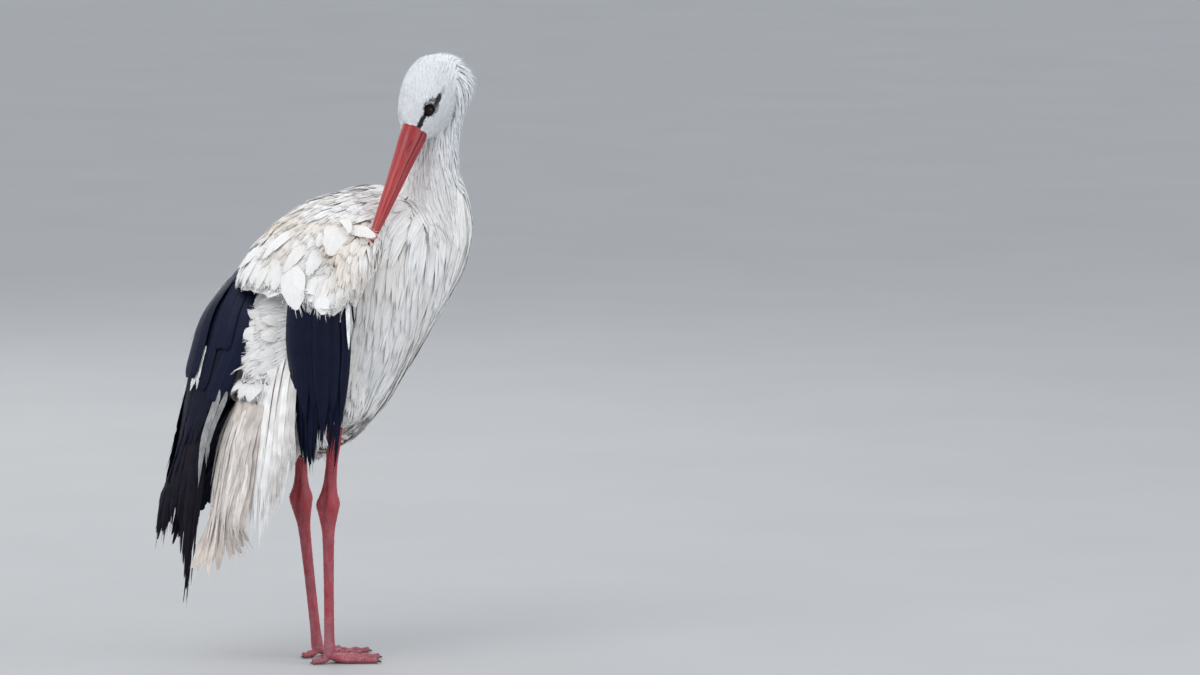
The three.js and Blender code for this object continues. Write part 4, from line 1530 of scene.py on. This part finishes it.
def stepped(table):
    """A size that changes with the drawn height: pairs of height and value."""
    heights, values = np.array(sorted(table)).T
    return lambda drawn: np.interp(drawn[:, 2], heights, values)


def head_size(table):
    """A size that changes from the bill backwards: pairs of head x and value."""
    xs, values = np.array(sorted(table)).T
    return lambda drawn: np.interp((drawn - HEAD_AT) @ HEAD_TURN[0], xs, values)


def off_bare_skin(points):
    head = off_head(points)
    radius = np.linalg.norm(head[:, [0, 2]] - EYE_SPOT[[0, 2]], axis=1)
    near = (radius < 7.4) & (np.abs(head[:, 1]) > 12)
    return (black_skin(points) < 0.97) & ~near & (head[:, 0] < BILL_BASE + 3)


def rng_for(step):
    body, _ = settings()
    return np.random.default_rng(body.seed * 100 + step)


class GrowHead(bpy.types.Operator):
    """Short dense feathers back from the bill, longer and ruffled at the nape"""
    bl_idname = "stork.grow_head"
    bl_label = "Head feathers"

    def execute(self, context):
        rng = rng_for(1)
        length = head_size([(48, 5), (20, 8), (-10, 11), (-45, 16), (-66, 22)])
        width = head_size([(48, 1.6), (0, 2.4), (-60, 2.6)])
        depth = head_size([(48, 0.7), (20, 1.1), (-20, 2), (-60, 3.4)])
        ruffle = head_size([(-66, 8), (-50, 4.5), (-30, 1), (-10, 0.1)])
        sets = grow(rng, ["head"], spacing=1.32, length=length, width=width, steps=3, lie=head_lie,
                    depth=depth, ruffle=ruffle, allowed=off_bare_skin, tone=0.02, shade=0.98, thick=0.09)
        coat_piece("head_feathers", sets, white_down())
        return {"FINISHED"}


class GrowNeck(bpy.types.Operator):
    """Fine hair-like feathers down the neck, long and loose at its foot"""
    bl_idname = "stork.grow_neck"
    bl_label = "Neck feathers"

    def execute(self, context):
        rng = rng_for(2)

        def between(low, high):
            return lambda points: (unplace(points)[:, 2] > low) & (unplace(points)[:, 2] <= high)

        def ruffle(drawn):
            return 7 * smooth_step((drawn[:, 2] - 735) / 30) + 0.8

        length = stepped([(790, 16), (760, 21), (700, 26), (660, 36)])
        width, depth = stepped([(790, 2.3), (660, 3)]), stepped([(790, 4), (660, 5)])
        sets = grow(rng, ["neck"], spacing=1.75, length=length, width=width, steps=4, lie=head_lie,
                    depth=depth, ruffle=ruffle, allowed=between(668, 900), tone=0.03, thick=0.1)
        coat_piece("neck_feathers_upper", sets, white_down())
        length, width = stepped([(670, 38), (600, 62), (520, 76)]), stepped([(670, 5), (520, 7)])
        for name, low, high in (("neck_feathers_middle", 602, 668), ("neck_feathers_lower", 300, 602)):
            sets = grow(rng, ["neck"], spacing=3.2, length=length, width=width, lie=head_lie, depth=3.2,
                        allowed=between(low, high), strands=6, cover=2.6, fan=0.4, meet=0.6, stiff=0.15,
                        yaw=0.07, shade=0.96, ruffle=0.9, tone=0.03, thick=0.1, roll=0.05, most_up=0.3)
            coat_piece(name, sets, white_down())
        return {"FINISHED"}


class GrowBreast(bpy.types.Operator):
    """Long lance-shaped plumes that hang over the breast"""
    bl_idname = "stork.grow_breast"
    bl_label = "Breast plumes"

    def execute(self, context):
        rng = rng_for(3)
        length = stepped([(640, 64), (540, 98), (440, 92), (380, 54)])
        depth = stepped([(640, 3.4), (540, 4.6), (380, 3.4)])
        sets = grow(rng, ["breast_plumes"], spacing=4.7, length=length, width=9.4, steps=7,
                    lie=breast_lie, depth=depth, strands=8, cover=2.8, fan=0.4, meet=0.7, yaw=0.07,
                    roll=0.06, shade=0.96, ruffle=1.5, most_up=0.2, **SOFT)
        coat_piece("breast_plume_feathers", sets, white_down())
        return {"FINISHED"}


def rump(points):
    x, _, z = unplace(points).T
    return (x < 20) & (z < 520) & (x * 0.9 + z * 0.45 < 200)


def under_rump(points):
    x, _, z = unplace(points).T
    return (x < -62) & (z > 352) & (z < 402)


def off_the_leg(points):
    x, y, z = unplace(points).T
    return ~((x * 0.84 - y * 0.54 > -42) & (y < -30) & (z < 335))


def undertail_length(drawn):
    return np.interp(drawn[:, 0], [-110, -55, -35], [74, 40, 24])


class GrowBody(bpy.types.Operator):
    """Soft plumes over the flanks, belly and rump"""
    bl_idname = "stork.grow_body"
    bl_label = "Body feathers"

    def execute(self, context):
        rng = rng_for(4)
        sets = grow(rng, ["trunk"], spacing=7.6, length=46, width=21, steps=7, lie=ruffled_lie, depth=8,
                    allowed=rump, strands=5, cover=2.4, fan=0.8, meet=0.35, stiff=0.5, yaw=0.22,
                    roll=0.12, free=0.6, shade=0.94, ruffle=5, camber=0.1, **SOFT)
        sets += grow(rng, ["trunk", "undertail"], spacing=6.6, length=62, width=17, lie=body_lie,
                     depth=15, allowed=under_rump, strands=5, cover=2.2, fan=0.7, meet=0.4, stiff=0.5,
                     yaw=0.2, shade=0.94, ruffle=3, camber=0.08, most_up=-0.2, **SOFT)
        sets += laid_feathers(rng, RUMP_FEATHERS, RUMP_NODES)
        coat_piece("rump_feathers", sets, white_feather())
        length = stepped([(560, 64), (460, 84), (300, 66)])
        sets = grow(rng, ["trunk"], spacing=8.4, length=length, width=14.5, lie=body_lie, depth=5.5,
                    allowed=lambda points: ~rump(points), strands=5, cover=2, fan=0.4, meet=0.6,
                    stiff=0.25, yaw=0.08, roll=0.07, ruffle=1.6, tone=0.035, thick=0.12, most_up=0.2)
        coat_piece("flank_plumes", sets, white_down())
        length = stepped([(400, 44), (340, 26), (310, 15)])
        depth = stepped([(400, 5.5), (300, 4.5), (230, 3)])
        sets = grow(rng, ["thigh_left", "thigh_right"], spacing=5.2, length=length, width=6, steps=5,
                    lie=leg_lie, depth=depth, strands=3, fan=0.3, meet=0.6, stiff=0.25, yaw=0.1,
                    shade=0.93, ruffle=1, most_up=-0.3)
        sets += grow(rng, ["undertail"], spacing=6, length=undertail_length, width=9, lie=body_lie,
                     depth=6, allowed=off_the_leg, strands=3, fan=0.3, meet=0.7, stiff=0.45, yaw=0.08,
                     shade=0.93, ruffle=2, most_up=-0.1)
        coat_piece("leg_and_undertail_plumes", sets, white_down())
        return {"FINISHED"}


# The largest feathers that show, one by one: its root and its tip as the camera sees them, in
# millimetres across and up, its width, how far it bows out, and how far its ends stand clear.
CAPE_FEATHERS = [
    (-38, 517, -26, 451, 30, 8, 8, 13), (-1, 512, 6, 444, 26, 8, 3, 8),
    (30, 573, 12, 518, 34, 10, 0, 2), (26, 579, 38, 548, 18, 7), (26, 527, 44, 478, 19, 7),
    (40, 532, 57, 488, 16, 6), (-13, 548, -44, 499, 23, 7), (9, 545, -16, 495, 22, 7),
    (-30, 565, -71, 517, 22, 6), (16, 561, -3, 532, 18, 6), (-79, 517, -100, 492, 18, 5),
    (14, 509, 22, 468, 22, 6), (-69, 545, -101, 506, 20, 5), (29, 564, 71, 544, 21, 5, 0, 17),
]
CAPE_EDGE_TIPS = [
    (-104, 488), (-95, 482), (-86, 486), (-77, 479), (-66, 483), (-57, 477), (-47, 473), (-36, 464),
    (-10, 461), (16, 460), (30, 468),
]
CAPE_NODES = ("mantle", "wing_right_coverts", "wing_left_coverts")
RUMP_FEATHERS = [
    (-43, 445, -93, 448, 21, 7), (-40, 430, -88, 435, 20, 8), (-53, 419, -99, 424, 22, 7),
    (-43, 409, -91, 410, 20, 8), (-53, 402, -98, 389, 23, 7), (-60, 389, -93, 376, 22, 7),
    (-50, 392, -78, 374, 20, 8), (-79, 364, -88, 335, 24, 7), (-89, 363, -101, 340, 20, 6),
    (-63, 353, -53, 330, 16, 6), (-43, 379, -40, 353, 18, 6), (-95, 368, -112, 346, 20, 6),
    (-95, 387, -115, 369, 18, 5), (-53, 386, -60, 363, 20, 7), (-45, 400, -79, 391, 20, 8),
    (-43, 437, -71, 442, 18, 9), (-46, 422, -73, 419, 18, 9),
]
RUMP_NODES = ("trunk", "undertail", "tail", "wing_right_coverts", "mantle")


def edge_feathers():
    """The row that hangs over the black of the wing, from its tips up."""
    rows = []
    for i, (across, up) in enumerate(CAPE_EDGE_TIPS):
        lean = 13 if across < -30 else -4
        rows.append((across + lean, up + 47, across, up, 21 - 0.5 * (i % 3), 5 + i % 2))
    return rows


def laid_ends(rows, nodes):
    """Roots and tips in drawn millimetres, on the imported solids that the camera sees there."""
    right, up, into = view_axes()
    names = list(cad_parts)
    tree, owner = node_tree(names)
    roots, tips = [], []
    for from_across, from_up, to_across, to_up, _, _, *clear in rows:
        start, end = np.array([from_across, from_up]), np.array([to_across, to_up])
        found = []
        for at in start + (end - start) * np.linspace(0, 1, 60)[:, None]:
            eye = place(at[0] * right + at[1] * up - CAMERA_AWAY / MM * into)
            spot, _, face, _ = tree.ray_cast(Vector(eye), Vector(into))
            if face is not None and names[owner[face]] in nodes:
                found.append((unplace(spot), end - at))
        root_clear, tip_clear = clear or (0, 0)
        last, left = found[-1]
        roots.append(found[0][0] - into * root_clear)
        tips.append(last + left[0] * right + left[1] * up - into * tip_clear)
    return np.array(roots), np.array(tips)


def laid_feathers(rng, rows, nodes):
    """Single broad feathers, each straight from its own root to its own tip but for its bow."""
    steps = 12
    root, tip = map(place, laid_ends(rows, nodes))
    width, bow = np.array([row[4:6] for row in rows], float).T
    _, out, faces = nearest_skin(root)
    up = tangent(out, unit(tip - root))[:, None]
    t = np.linspace(0, 1, steps)[None, :, None]
    rise = bow[:, None, None] * MM * (3 * t * (1 - t) + 1.1 * t) - 0.004 * (1 - t)
    line = root[:, None] + (tip - root)[:, None] * t + up * rise
    ways = unit(np.gradient(line, axis=1))
    ups = tangent(np.repeat(up, steps, 1), ways)
    sets = grow(rng, [], 0, 0, lambda d: width, None, 0, steps, shape=petal, section=VANE, roll=0.05,
                shade=0.93, tone=0.012, hairs=24, camber=0.13, thick=0.14, laid=(line, ways, ups, faces))
    for made in sets:
        made["tint"] = made["tint"] * 0.45 + np.array(settings()[1].white) * 0.52
    return sets


class GrowMantle(bpy.types.Operator):
    """Soft split feathers over the back and shoulders, and the largest ones laid over them"""
    bl_idname = "stork.grow_mantle"
    bl_label = "Back and shoulder feathers"

    def execute(self, context):
        rng = rng_for(5)
        length = stepped([(600, 36), (540, 46), (500, 40)])
        width = stepped([(600, 11), (550, 14), (500, 16)])
        sets = grow(rng, ["mantle"], spacing=6.2, length=length, width=width, lie=body_lie, depth=5.5,
                    strands=5, cover=2.3, fan=0.55, meet=0.45, yaw=0.12, roll=0.06, ruffle=1.3,
                    camber=0.08, **OVER_RIM, **SOFT)
        sets += laid_feathers(rng, CAPE_FEATHERS + edge_feathers(), CAPE_NODES)
        coat_piece("back_feathers", sets, white_feather())
        return {"FINISHED"}


class GrowCoverts(bpy.types.Operator):
    """White coverts over both folded wings"""
    bl_idname = "stork.grow_coverts"
    bl_label = "Wing coverts"

    def execute(self, context):
        rng = rng_for(6)
        length = stepped([(580, 36), (480, 50), (340, 58)])
        sets = grow(rng, ["wing_left_coverts"], spacing=9.4, length=length, width=22, steps=7,
                    lie=wing_lie, depth=6, shape=rounded, section=VANE, roll=0.08, shade=0.93, ruffle=1.5,
                    tone=0.03, hairs=8, camber=0.1, thick=0.12, **OVER_RIM)
        coat_piece("left_covert_feathers", sets, white_feather())
        length = stepped([(580, 40), (480, 50)])
        sets = grow(rng, ["wing_right_coverts"], spacing=6.4, length=length, width=15, lie=wing_lie,
                    depth=4.5, strands=6, cover=2.3, fan=0.5, meet=0.45, yaw=0.1, roll=0.06, ruffle=1.5,
                    camber=0.08, **OVER_RIM, **SOFT)
        coat_piece("right_covert_feathers", sets, white_feather())
        return {"FINISHED"}


# ---- long feathers of wings and tail
# A sheet is a run of rows, each from one edge over the ridge to the other, in drawn millimetres.
LEFT_SHEET = [
    [(-66, 44, 498), (-82, 66, 500), (-76, 88, 488)], [(-94, 28, 450), (-116, 66, 456), (-118, 92, 440)],
    [(-114, 30, 396), (-136, 64, 400), (-140, 90, 386)], [(-132, 36, 344), (-150, 66, 344), (-152, 90, 330)],
    [(-150, 44, 290), (-164, 68, 286), (-166, 86, 272)],
    [(-160, 52, 205), (-180, 70, 215), (-190, 80, 222)],
    [(-168, 62, 104), (-190, 69, 140), (-208, 76, 172)],
]
LEFT_EDGE_SHEET = [
    [(-14, 96, 384), (2, 106, 366), (22, 98, 340)], [(-62, 95, 366), (-44, 104, 326), (-16, 94, 296)],
    [(-104, 91, 346), (-92, 100, 300), (-66, 90, 262)], [(-138, 87, 312), (-130, 92, 264), (-112, 84, 228)],
    [(-166, 80, 262), (-160, 83, 226), (-148, 78, 196)],
]
LEFT_SIDE_SHEET = [
    [(-24, 98, 322), (-66, 105, 372), (-112, 97, 424)], [(-62, 94, 286), (-98, 102, 330), (-136, 95, 378)],
    [(-104, 87, 248), (-132, 97, 285), (-156, 92, 322)], [(-142, 80, 212), (-162, 90, 240), (-176, 87, 262)],
    [(-178, 72, 140), (-192, 80, 166), (-204, 79, 190)],
]
RUMP_SHEET = [
    [(-106, -24, 410), (-103, -56, 404), (-88, -78, 400)],
    [(-118, -32, 335), (-110, -60, 332), (-94, -80, 332)],
    [(-129, -38, 262), (-115, -62, 268), (-95, -79, 286)],
    [(-134, -42, 184), (-118, -57, 210), (-96, -74, 246)],
]
RIGHT_SHEET = [
    [(-84, -64, 478), (-66, -92, 472), (-24, -101, 464)],
    [(-86, -62, 430), (-68, -92, 428), (-22, -101, 420)],
    [(-82, -64, 385), (-66, -91, 383), (-26, -100, 378)],
    [(-80, -67, 340), (-64, -91, 338), (-32, -99, 334)],
    [(-75, -74, 272), (-64, -86, 266), (-40, -96, 264)],
]
TAIL_SHEET = [
    [(-106, -32, 350), (-114, 0, 352), (-106, 32, 350)], [(-124, -38, 300), (-131, 0, 300), (-124, 38, 300)],
    [(-134, -40, 245), (-141, 0, 245), (-134, 40, 245)], [(-143, -38, 190), (-149, 2, 190), (-143, 42, 190)],
    [(-128, -40, 166), (-152, 0, 132), (-176, 40, 126)],
]
# Quills, each with the u and v of its root, the u and v of its tip, its half width and its layer.
LEFT_TIP_EDGE = [
    (0, 0.5, -0.03, 1.03, 2, 1.2), (-0.04, 0.5, -0.09, 0.98, 1.7, 0.8),
    (0.05, 0.5, 0.04, 1.06, 1.8, 1), (-0.06, 0.55, -0.06, 0.9, 1.5, 0.6),
]
LEFT_UPPER = [
    (0.88, 0, 0.9, 0.34, 12, 4.6), (0.44, 0, 0.42, 0.46, 15, 4.9), (-0.04, 0.02, 0.05, 0.505, 15.5, 6.2),
    (0.24, -0.01, 0.19, 0.3, 15.5, 7.6), (0.6, -0.05, 0.69, 0.405, 16.5, 7.8),
]
LEFT_STREAKS = [
    (0.86, 0.3, 1.02, 0.47, 4.6, 5.8), (0.62, 0.3, 0.64, 0.465, 4.6, 6), (0.5, 0.3, 0.47, 0.46, 4.2, 5.6),
    (0.97, -0.1, 0.82, 0.09, 2.6, 9.6), (0.03, 0.46, -0.04, 0.77, 5.4, 7.6),
    (-0.08, 0.46, -0.13, 0.72, 5, 7),
]
RIGHT_UPPER = [
    (0.06, -0.05, 0.06, 0.64, 11, 3.6), (0.44, -0.05, 0.46, 0.72, 12, 3.9), (0.8, -0.05, 0.82, 0.74, 11, 3.7),
    (0.24, -0.05, 0.26, 0.8, 12, 5), (0.62, -0.05, 0.64, 0.86, 12, 5.3), (0.96, -0.05, 0.985, 0.8, 7.5, 5.1),
]
RIGHT_WHITE_EDGE = [(0.985, -0.12, 0.965, 0.27, 3.4, 7.6)]
RIGHT_BLACK_EDGE = [(1.05, -0.1, 1.05, 0.12, 1.8, 6.2)]
# How far down its sheet a wing's outline reaches, at places across it.
LEFT_OUTLINE = [(0, 1.05), (0.12, 1), (0.3, 0.9), (0.55, 0.9), (0.75, 0.97), (0.9, 1.02), (1, 0.98)]
RIGHT_OUTLINE = [(0, 0.93), (0.2, 1), (0.4, 0.98), (0.6, 0.9), (0.78, 0.85), (0.9, 0.93), (1, 0.955)]
PATCHES = 10  # quills' patches along each side of the unwrap
LAYER_GAP = 1.1
LEADING_SIDE = 0.75  # how wide the narrow side of a quill is against the other
QUILL_THICK = 0.16 * MM
_columns = np.linspace(-1, 1, 9)
_inner = _columns[1:-1][::-1]
QUILL = np.array([(a, a * a, 1 + 1.6 * (a == 0)) if abs(a) < 1 else (a, 1, 0) for a in _columns]
                 + [(a, a * a, -1 - 2.5 * (a == 0)) for a in _inner])


def sheet_at(rows, u, v):
    """Points of a sheet, u across it and v down it; past its end it runs straight on."""
    table = np.reshape(np.asarray(rows, float), (len(rows), -1))
    end = np.where(v > 1, 1, 0)
    slope = curve_through(table, end) - curve_through(table, np.abs(end - 0.03))
    slope = slope / (end * 2 - 1)[:, None] / 0.03
    flat = curve_through(table, v) + slope * (v - np.clip(v, 0, 1))[:, None]
    a, b, c = flat.reshape(-1, 3, 3).transpose(1, 0, 2)
    u = u[:, None]
    return a * (1 - u) * (1 - 2 * u) + b * 4 * u * (1 - u) + c * u * (2 * u - 1)


def blunt(t):
    return smooth_step(t / 0.16) ** 0.6 * np.sqrt(end_from(t, 0.84, 2))


def keen(t):
    return smooth_step(t / 0.14) ** 0.6 * end_from(t, 0.5, 2.2)


def ragged_end(t):
    return smooth_step(t / 0.14) ** 0.6 * (1 - 0.9 * smooth_step((t - 0.74) / 0.28))


def quills(rng, rows, table, outward, shape, colour, steps=30, splits=2, edge=0, hairs=8, camber=0.16,
           first_cell=0, hair_reach=(0.05, 0.12), dive=0, split_from=0.6, strays=1):
    """Long feathers on a sheet, one for each row of the table."""
    table = np.asarray(table, float)
    n = len(table)
    t = np.linspace(0, 1, steps)
    bend = rng.normal(0, 0.02 * strays, (n, 1))
    u0, v0, u1, v1 = table[:, :4].T[..., None]
    u = u0 + (u1 - u0) * t + bend * np.sin(math.pi * t)
    v = v0 + (v1 - v0) * t
    line = sheet_at(rows, u.ravel(), v.ravel()).reshape(n, steps, 3)
    beside = sheet_at(rows, u.ravel() + 0.02, v.ravel()).reshape(n, steps, 3) - line
    along = unit(np.gradient(line, axis=1))
    up = unit(np.cross(along, beside))
    up = up * np.sign((up * outward).sum(-1, keepdims=True))
    across = unit(np.cross(along, up))
    across, up = turned(across, up, rng.normal(0, 0.1 * strays, (n, 1, 1)))
    rise = table[:, 5:6] * LAYER_GAP - 1.5 * (1 - t)[None] - dive * (1 - t)[None] ** 3
    line = place(line + up * rise[..., None])
    wide = table[:, 4] * MM
    half = np.repeat((wide[:, None] * shape(0.03 + 0.94 * t))[..., None], 2, -1)
    half[..., 0] *= LEADING_SIDE
    ragged = 1 - 0.012 * rng.random(half.shape)
    for _ in range(splits):
        k = rng.integers(int(steps * split_from), steps - 2, (n, 2))
        ragged[np.arange(n)[:, None], k, np.arange(2)[None]] *= rng.uniform(0.55, 0.92, (n, 2))
    half = half * ragged
    tint = colour * (1 + rng.normal(0, 0.1, (n, 1)))
    made = solid_vanes(line, across, up, half, QUILL, QUILL_THICK, camber, sweep=0.5)
    cell = (first_cell + np.arange(n)) % PATCHES ** 2
    corner = np.stack([cell % PATCHES, cell // PATCHES], 1) / PATCHES
    made["bake"] = np.repeat(corner, made["each"], 0) + 0.006 + made["share"] * 0.088
    # Paler rims: partly the quills' own pale edges, partly a painted sheen along them.
    rim = smooth_step((np.abs(made["share"][:, 0] * 2 - 1) - 0.6) / 0.4)[:, None] * edge
    start = np.repeat(rng.random(n) * 6, made["each"])[:, None]
    streak = 1 + 0.12 * np.sin(made["vane"][:, 1:] * 0.21 + start)
    base = np.repeat(tint, made["each"], 0) * streak
    made["tint"] = base * (1 - rim) + (base * 3 + 0.03) * rim
    sets = [made]
    for _ in range(hairs):
        path, side, top, thin = fringe(rng, line, across, up, wide, shape, camber, hair_reach, 0.6)
        loose = solid_vanes(path, side, top, thin * 1.2, STRAND, 0.14 * MM, 0)
        loose["bake"] = np.repeat(corner, loose["each"], 0) + 0.05 + loose["share"] * PATCH
        loose["tint"] = np.repeat(tint, loose["each"], 0) * 1.1
        sets.append(loose)
    return sets


def spaced(low, high, count):
    return enumerate(np.linspace(low, high, count))


def outline_at(outline, s):
    return np.interp(s, *np.transpose(outline))


def left_wing_quills(rng, black, sooty, white):
    """From the deepest layer out: tips, middle, upper feathers, streaks, lower edge and side."""
    back, outside = np.array([-1, -0.2, 0.1]), np.array([0, 1, 0])
    tips = [(s, 0.34 + 0.1 * s, s * 1.04 - 0.02, outline_at(LEFT_OUTLINE, s) - 0.05 * rng.random(), 6.4,
             0.2 + i % 3) for i, s in spaced(0.02, 1, 15)]
    sets = quills(rng, LEFT_SHEET, tips + LEFT_TIP_EDGE, back, keen, sooty, edge=0.08, hairs=12,
                  split_from=0.7)
    middle = [(s, 0.16, s * 0.95 + 0.03, 0.66 + 0.14 * rng.random(), 13, 3.2 + i % 2)
              for i, s in spaced(0.02, 0.98, 7)]
    sets += quills(rng, LEFT_SHEET, middle, back, keen, black * 0.55 + sooty * 0.45, edge=0.06,
                   first_cell=14, splits=1, split_from=0.75)
    sets += quills(rng, LEFT_SHEET, LEFT_UPPER, back, blunt, black, edge=0.12, first_cell=24, splits=0,
                   hairs=3, strays=0.3)
    # The last two white streaks are painted at a third of the white: painted shade.
    streak_tints_with_painted_shade = white * np.array([[0.92]] * 4 + [[0.3]] * 2)
    sets += quills(rng, LEFT_SHEET, LEFT_STREAKS, back, keen, streak_tints_with_painted_shade, first_cell=36, splits=1)
    lower = [(0.35 + 0.04 * (i % 2), s - 0.12, 0.95 + 0.1 * rng.random(), s + 0.3 + 0.05 * rng.random(),
              13, 1 + i * 0.35) for i, s in spaced(0, 0.86, 12)]
    sets += quills(rng, LEFT_EDGE_SHEET, lower, outside, blunt, black, edge=0.1, first_cell=44, hairs=3)
    side = [(s, -0.02 + 0.1 * (i % 2), s + rng.normal(0, 0.03), 0.72 + 0.28 * rng.random(), 12, 0.5 + i % 3)
            for i, s in spaced(0.02, 0.98, 12)]
    return sets + quills(rng, LEFT_SIDE_SHEET, side, outside, keen, black * 0.6 + sooty * 0.4, edge=0.08,
                         first_cell=58, splits=3, hairs=6)


def right_wing_quills(rng, black, white):
    """A deep fringe of narrow feathers, broad ones over it and two thin edges."""
    near = np.array([-0.54, -0.84, 0])
    deep = [(s, 0.1, s, outline_at(RIGHT_OUTLINE, s) + 0.05 * rng.uniform(-1, 0.6), 5, i % 3 * 0.8)
            for i, s in spaced(0, 1, 22)]
    sets = quills(rng, RIGHT_SHEET, deep, near, keen, black, edge=0.07, splits=1, hairs=12,
                  hair_reach=(0.06, 0.16), split_from=0.75)
    sets += quills(rng, RIGHT_SHEET, RIGHT_UPPER, near, keen, black, edge=0.12, splits=0, first_cell=24,
                   strays=0.3)
    for rows, colour, cell in ((RIGHT_WHITE_EDGE, white * 0.92, 32), (RIGHT_BLACK_EDGE, black, 34)):
        sets += quills(rng, RIGHT_SHEET, rows, near, keen, colour, first_cell=cell, splits=0, hairs=2,
                       strays=0)
    return sets


class LayWings(bpy.types.Operator):
    """The long black feathers of both folded wings, with the white edges between them"""
    bl_idname = "stork.lay_wings"
    bl_label = "Wing quills"

    def execute(self, context):
        rng = rng_for(7)
        _, coat = settings()
        black, sooty, white = map(np.array, (coat.black, coat.sooty, coat.white))
        sets = left_wing_quills(rng, black, sooty, white)
        coat_piece("left_wing_quills", sets, black_feather(), "wing_left_flight", "wing_left_secondaries",
                   slot="black_feather")
        sets = right_wing_quills(rng, black, white)
        coat_piece("right_wing_quills", sets, black_feather(), "wing_right_flight", slot="black_feather")
        return {"FINISHED"}


def straying(rng, rows, sway):
    """The same quills, each with a tip that strays a little to one side of its root."""
    return [(u, v, u + rng.normal(0, sway), end, half, layer) for u, v, end, half, layer in rows]


class LayTail(bpy.types.Operator):
    """Twelve white tail feathers under long soft coverts"""
    bl_idname = "stork.lay_tail"
    bl_label = "Tail feathers"

    def execute(self, context):
        rng = rng_for(8)
        _, coat = settings()
        white, cream = np.array(coat.white), np.array(coat.cream)
        back = np.array([-1, -0.1, 0.1])
        fan = [(s, 0.05, s + 0.02 * rng.uniform(-1, 1),
                0.96 + 0.08 * s - 0.06 * rng.random() - 0.04 * (i % 2), 12, abs(i - 5.5) * 0.35)
               for i, s in spaced(0.02, 0.98, 12)]
        # Darker and warmer than clean white: partly staining, partly painted shade.
        tints = blend(white, cream, 0.3) * (1 + rng.normal(0, 0.04, (12, 1))) * [0.84, 0.79, 0.77]
        sets = quills(rng, TAIL_SHEET, fan, back, ragged_end, tints, splits=4, hairs=16, camber=0.1,
                      hair_reach=(0.06, 0.14))
        cover = []
        for _ in range(64):
            u, v, _, end = (rng.uniform(*r) for r in ((0, 1), (-0.25, 0.12), (-0.02, 1.02), (0.5, 0.9)))
            cover.append((u, v, end, 6.5, 2.5 + 3 * rng.random()))
        tints = blend(white, cream, 0.2) * (1 + rng.normal(0, 0.06, (64, 1))) * [0.9, 0.87, 0.86]
        sets += quills(rng, TAIL_SHEET, straying(rng, cover, 0.07), back, keen, tints, steps=16,
                       hairs=12, first_cell=14, camber=0.12, hair_reach=(0.08, 0.2), dive=22)
        down = [(rng.uniform(0, 1), rng.uniform(-0.05, 0.35), rng.uniform(0.7, 1.05), 4.6,
                 3 * rng.random()) for _ in range(60)]
        tints = blend(white, cream, 0.14) * (1 + rng.normal(0, 0.04, (60, 1)))
        sets += quills(rng, RUMP_SHEET, straying(rng, down, 0.06), np.array([-0.8, -0.6, 0.1]), keen,
                       tints, steps=16, hairs=14, first_cell=78, camber=0.12, hair_reach=(0.08, 0.22),
                       dive=24)
        coat_piece("tail_feathers", sets, white_feather(), "tail")
        return {"FINISHED"}


# ---- panel and run
STEPS = [SetStage, MakeSkin, MakeBill, MakeEyes, MakeClaws, GrowHead, GrowNeck, GrowBreast, GrowBody,
         GrowMantle, GrowCoverts, LayWings, LayTail]


class StorkPanel(bpy.types.Panel):
    """The stork's steps and settings in the 3D view's sidebar"""
    bl_idname = "VIEW3D_PT_stork"
    bl_label = "White stork"
    bl_space_type = "VIEW_3D"
    bl_region_type = "UI"
    bl_category = "Stork"

    def draw(self, context):
        for name, group in (("Body", context.scene.stork_body), ("Coat", context.scene.stork_coat)):
            box = self.layout.box()
            box.label(text=name)
            for key in group.__annotations__:
                box.prop(group, key)
        for step in STEPS:
            self.layout.operator(step.bl_idname)


CLASSES = [StorkBody, StorkCoat, *STEPS, StorkPanel]


def register():
    for c in CLASSES:
        bpy.utils.register_class(c)
    bpy.types.Scene.stork_body = PointerProperty(type=StorkBody)
    bpy.types.Scene.stork_coat = PointerProperty(type=StorkCoat)


def unregister():
    del bpy.types.Scene.stork_coat
    del bpy.types.Scene.stork_body
    for c in reversed(CLASSES):
        bpy.utils.unregister_class(c)


def main():
    register()
    for step in STEPS:
        group, name = step.bl_idname.split(".")
        getattr(getattr(bpy.ops, group), name)()


if __name__ == "__main__":
    main()
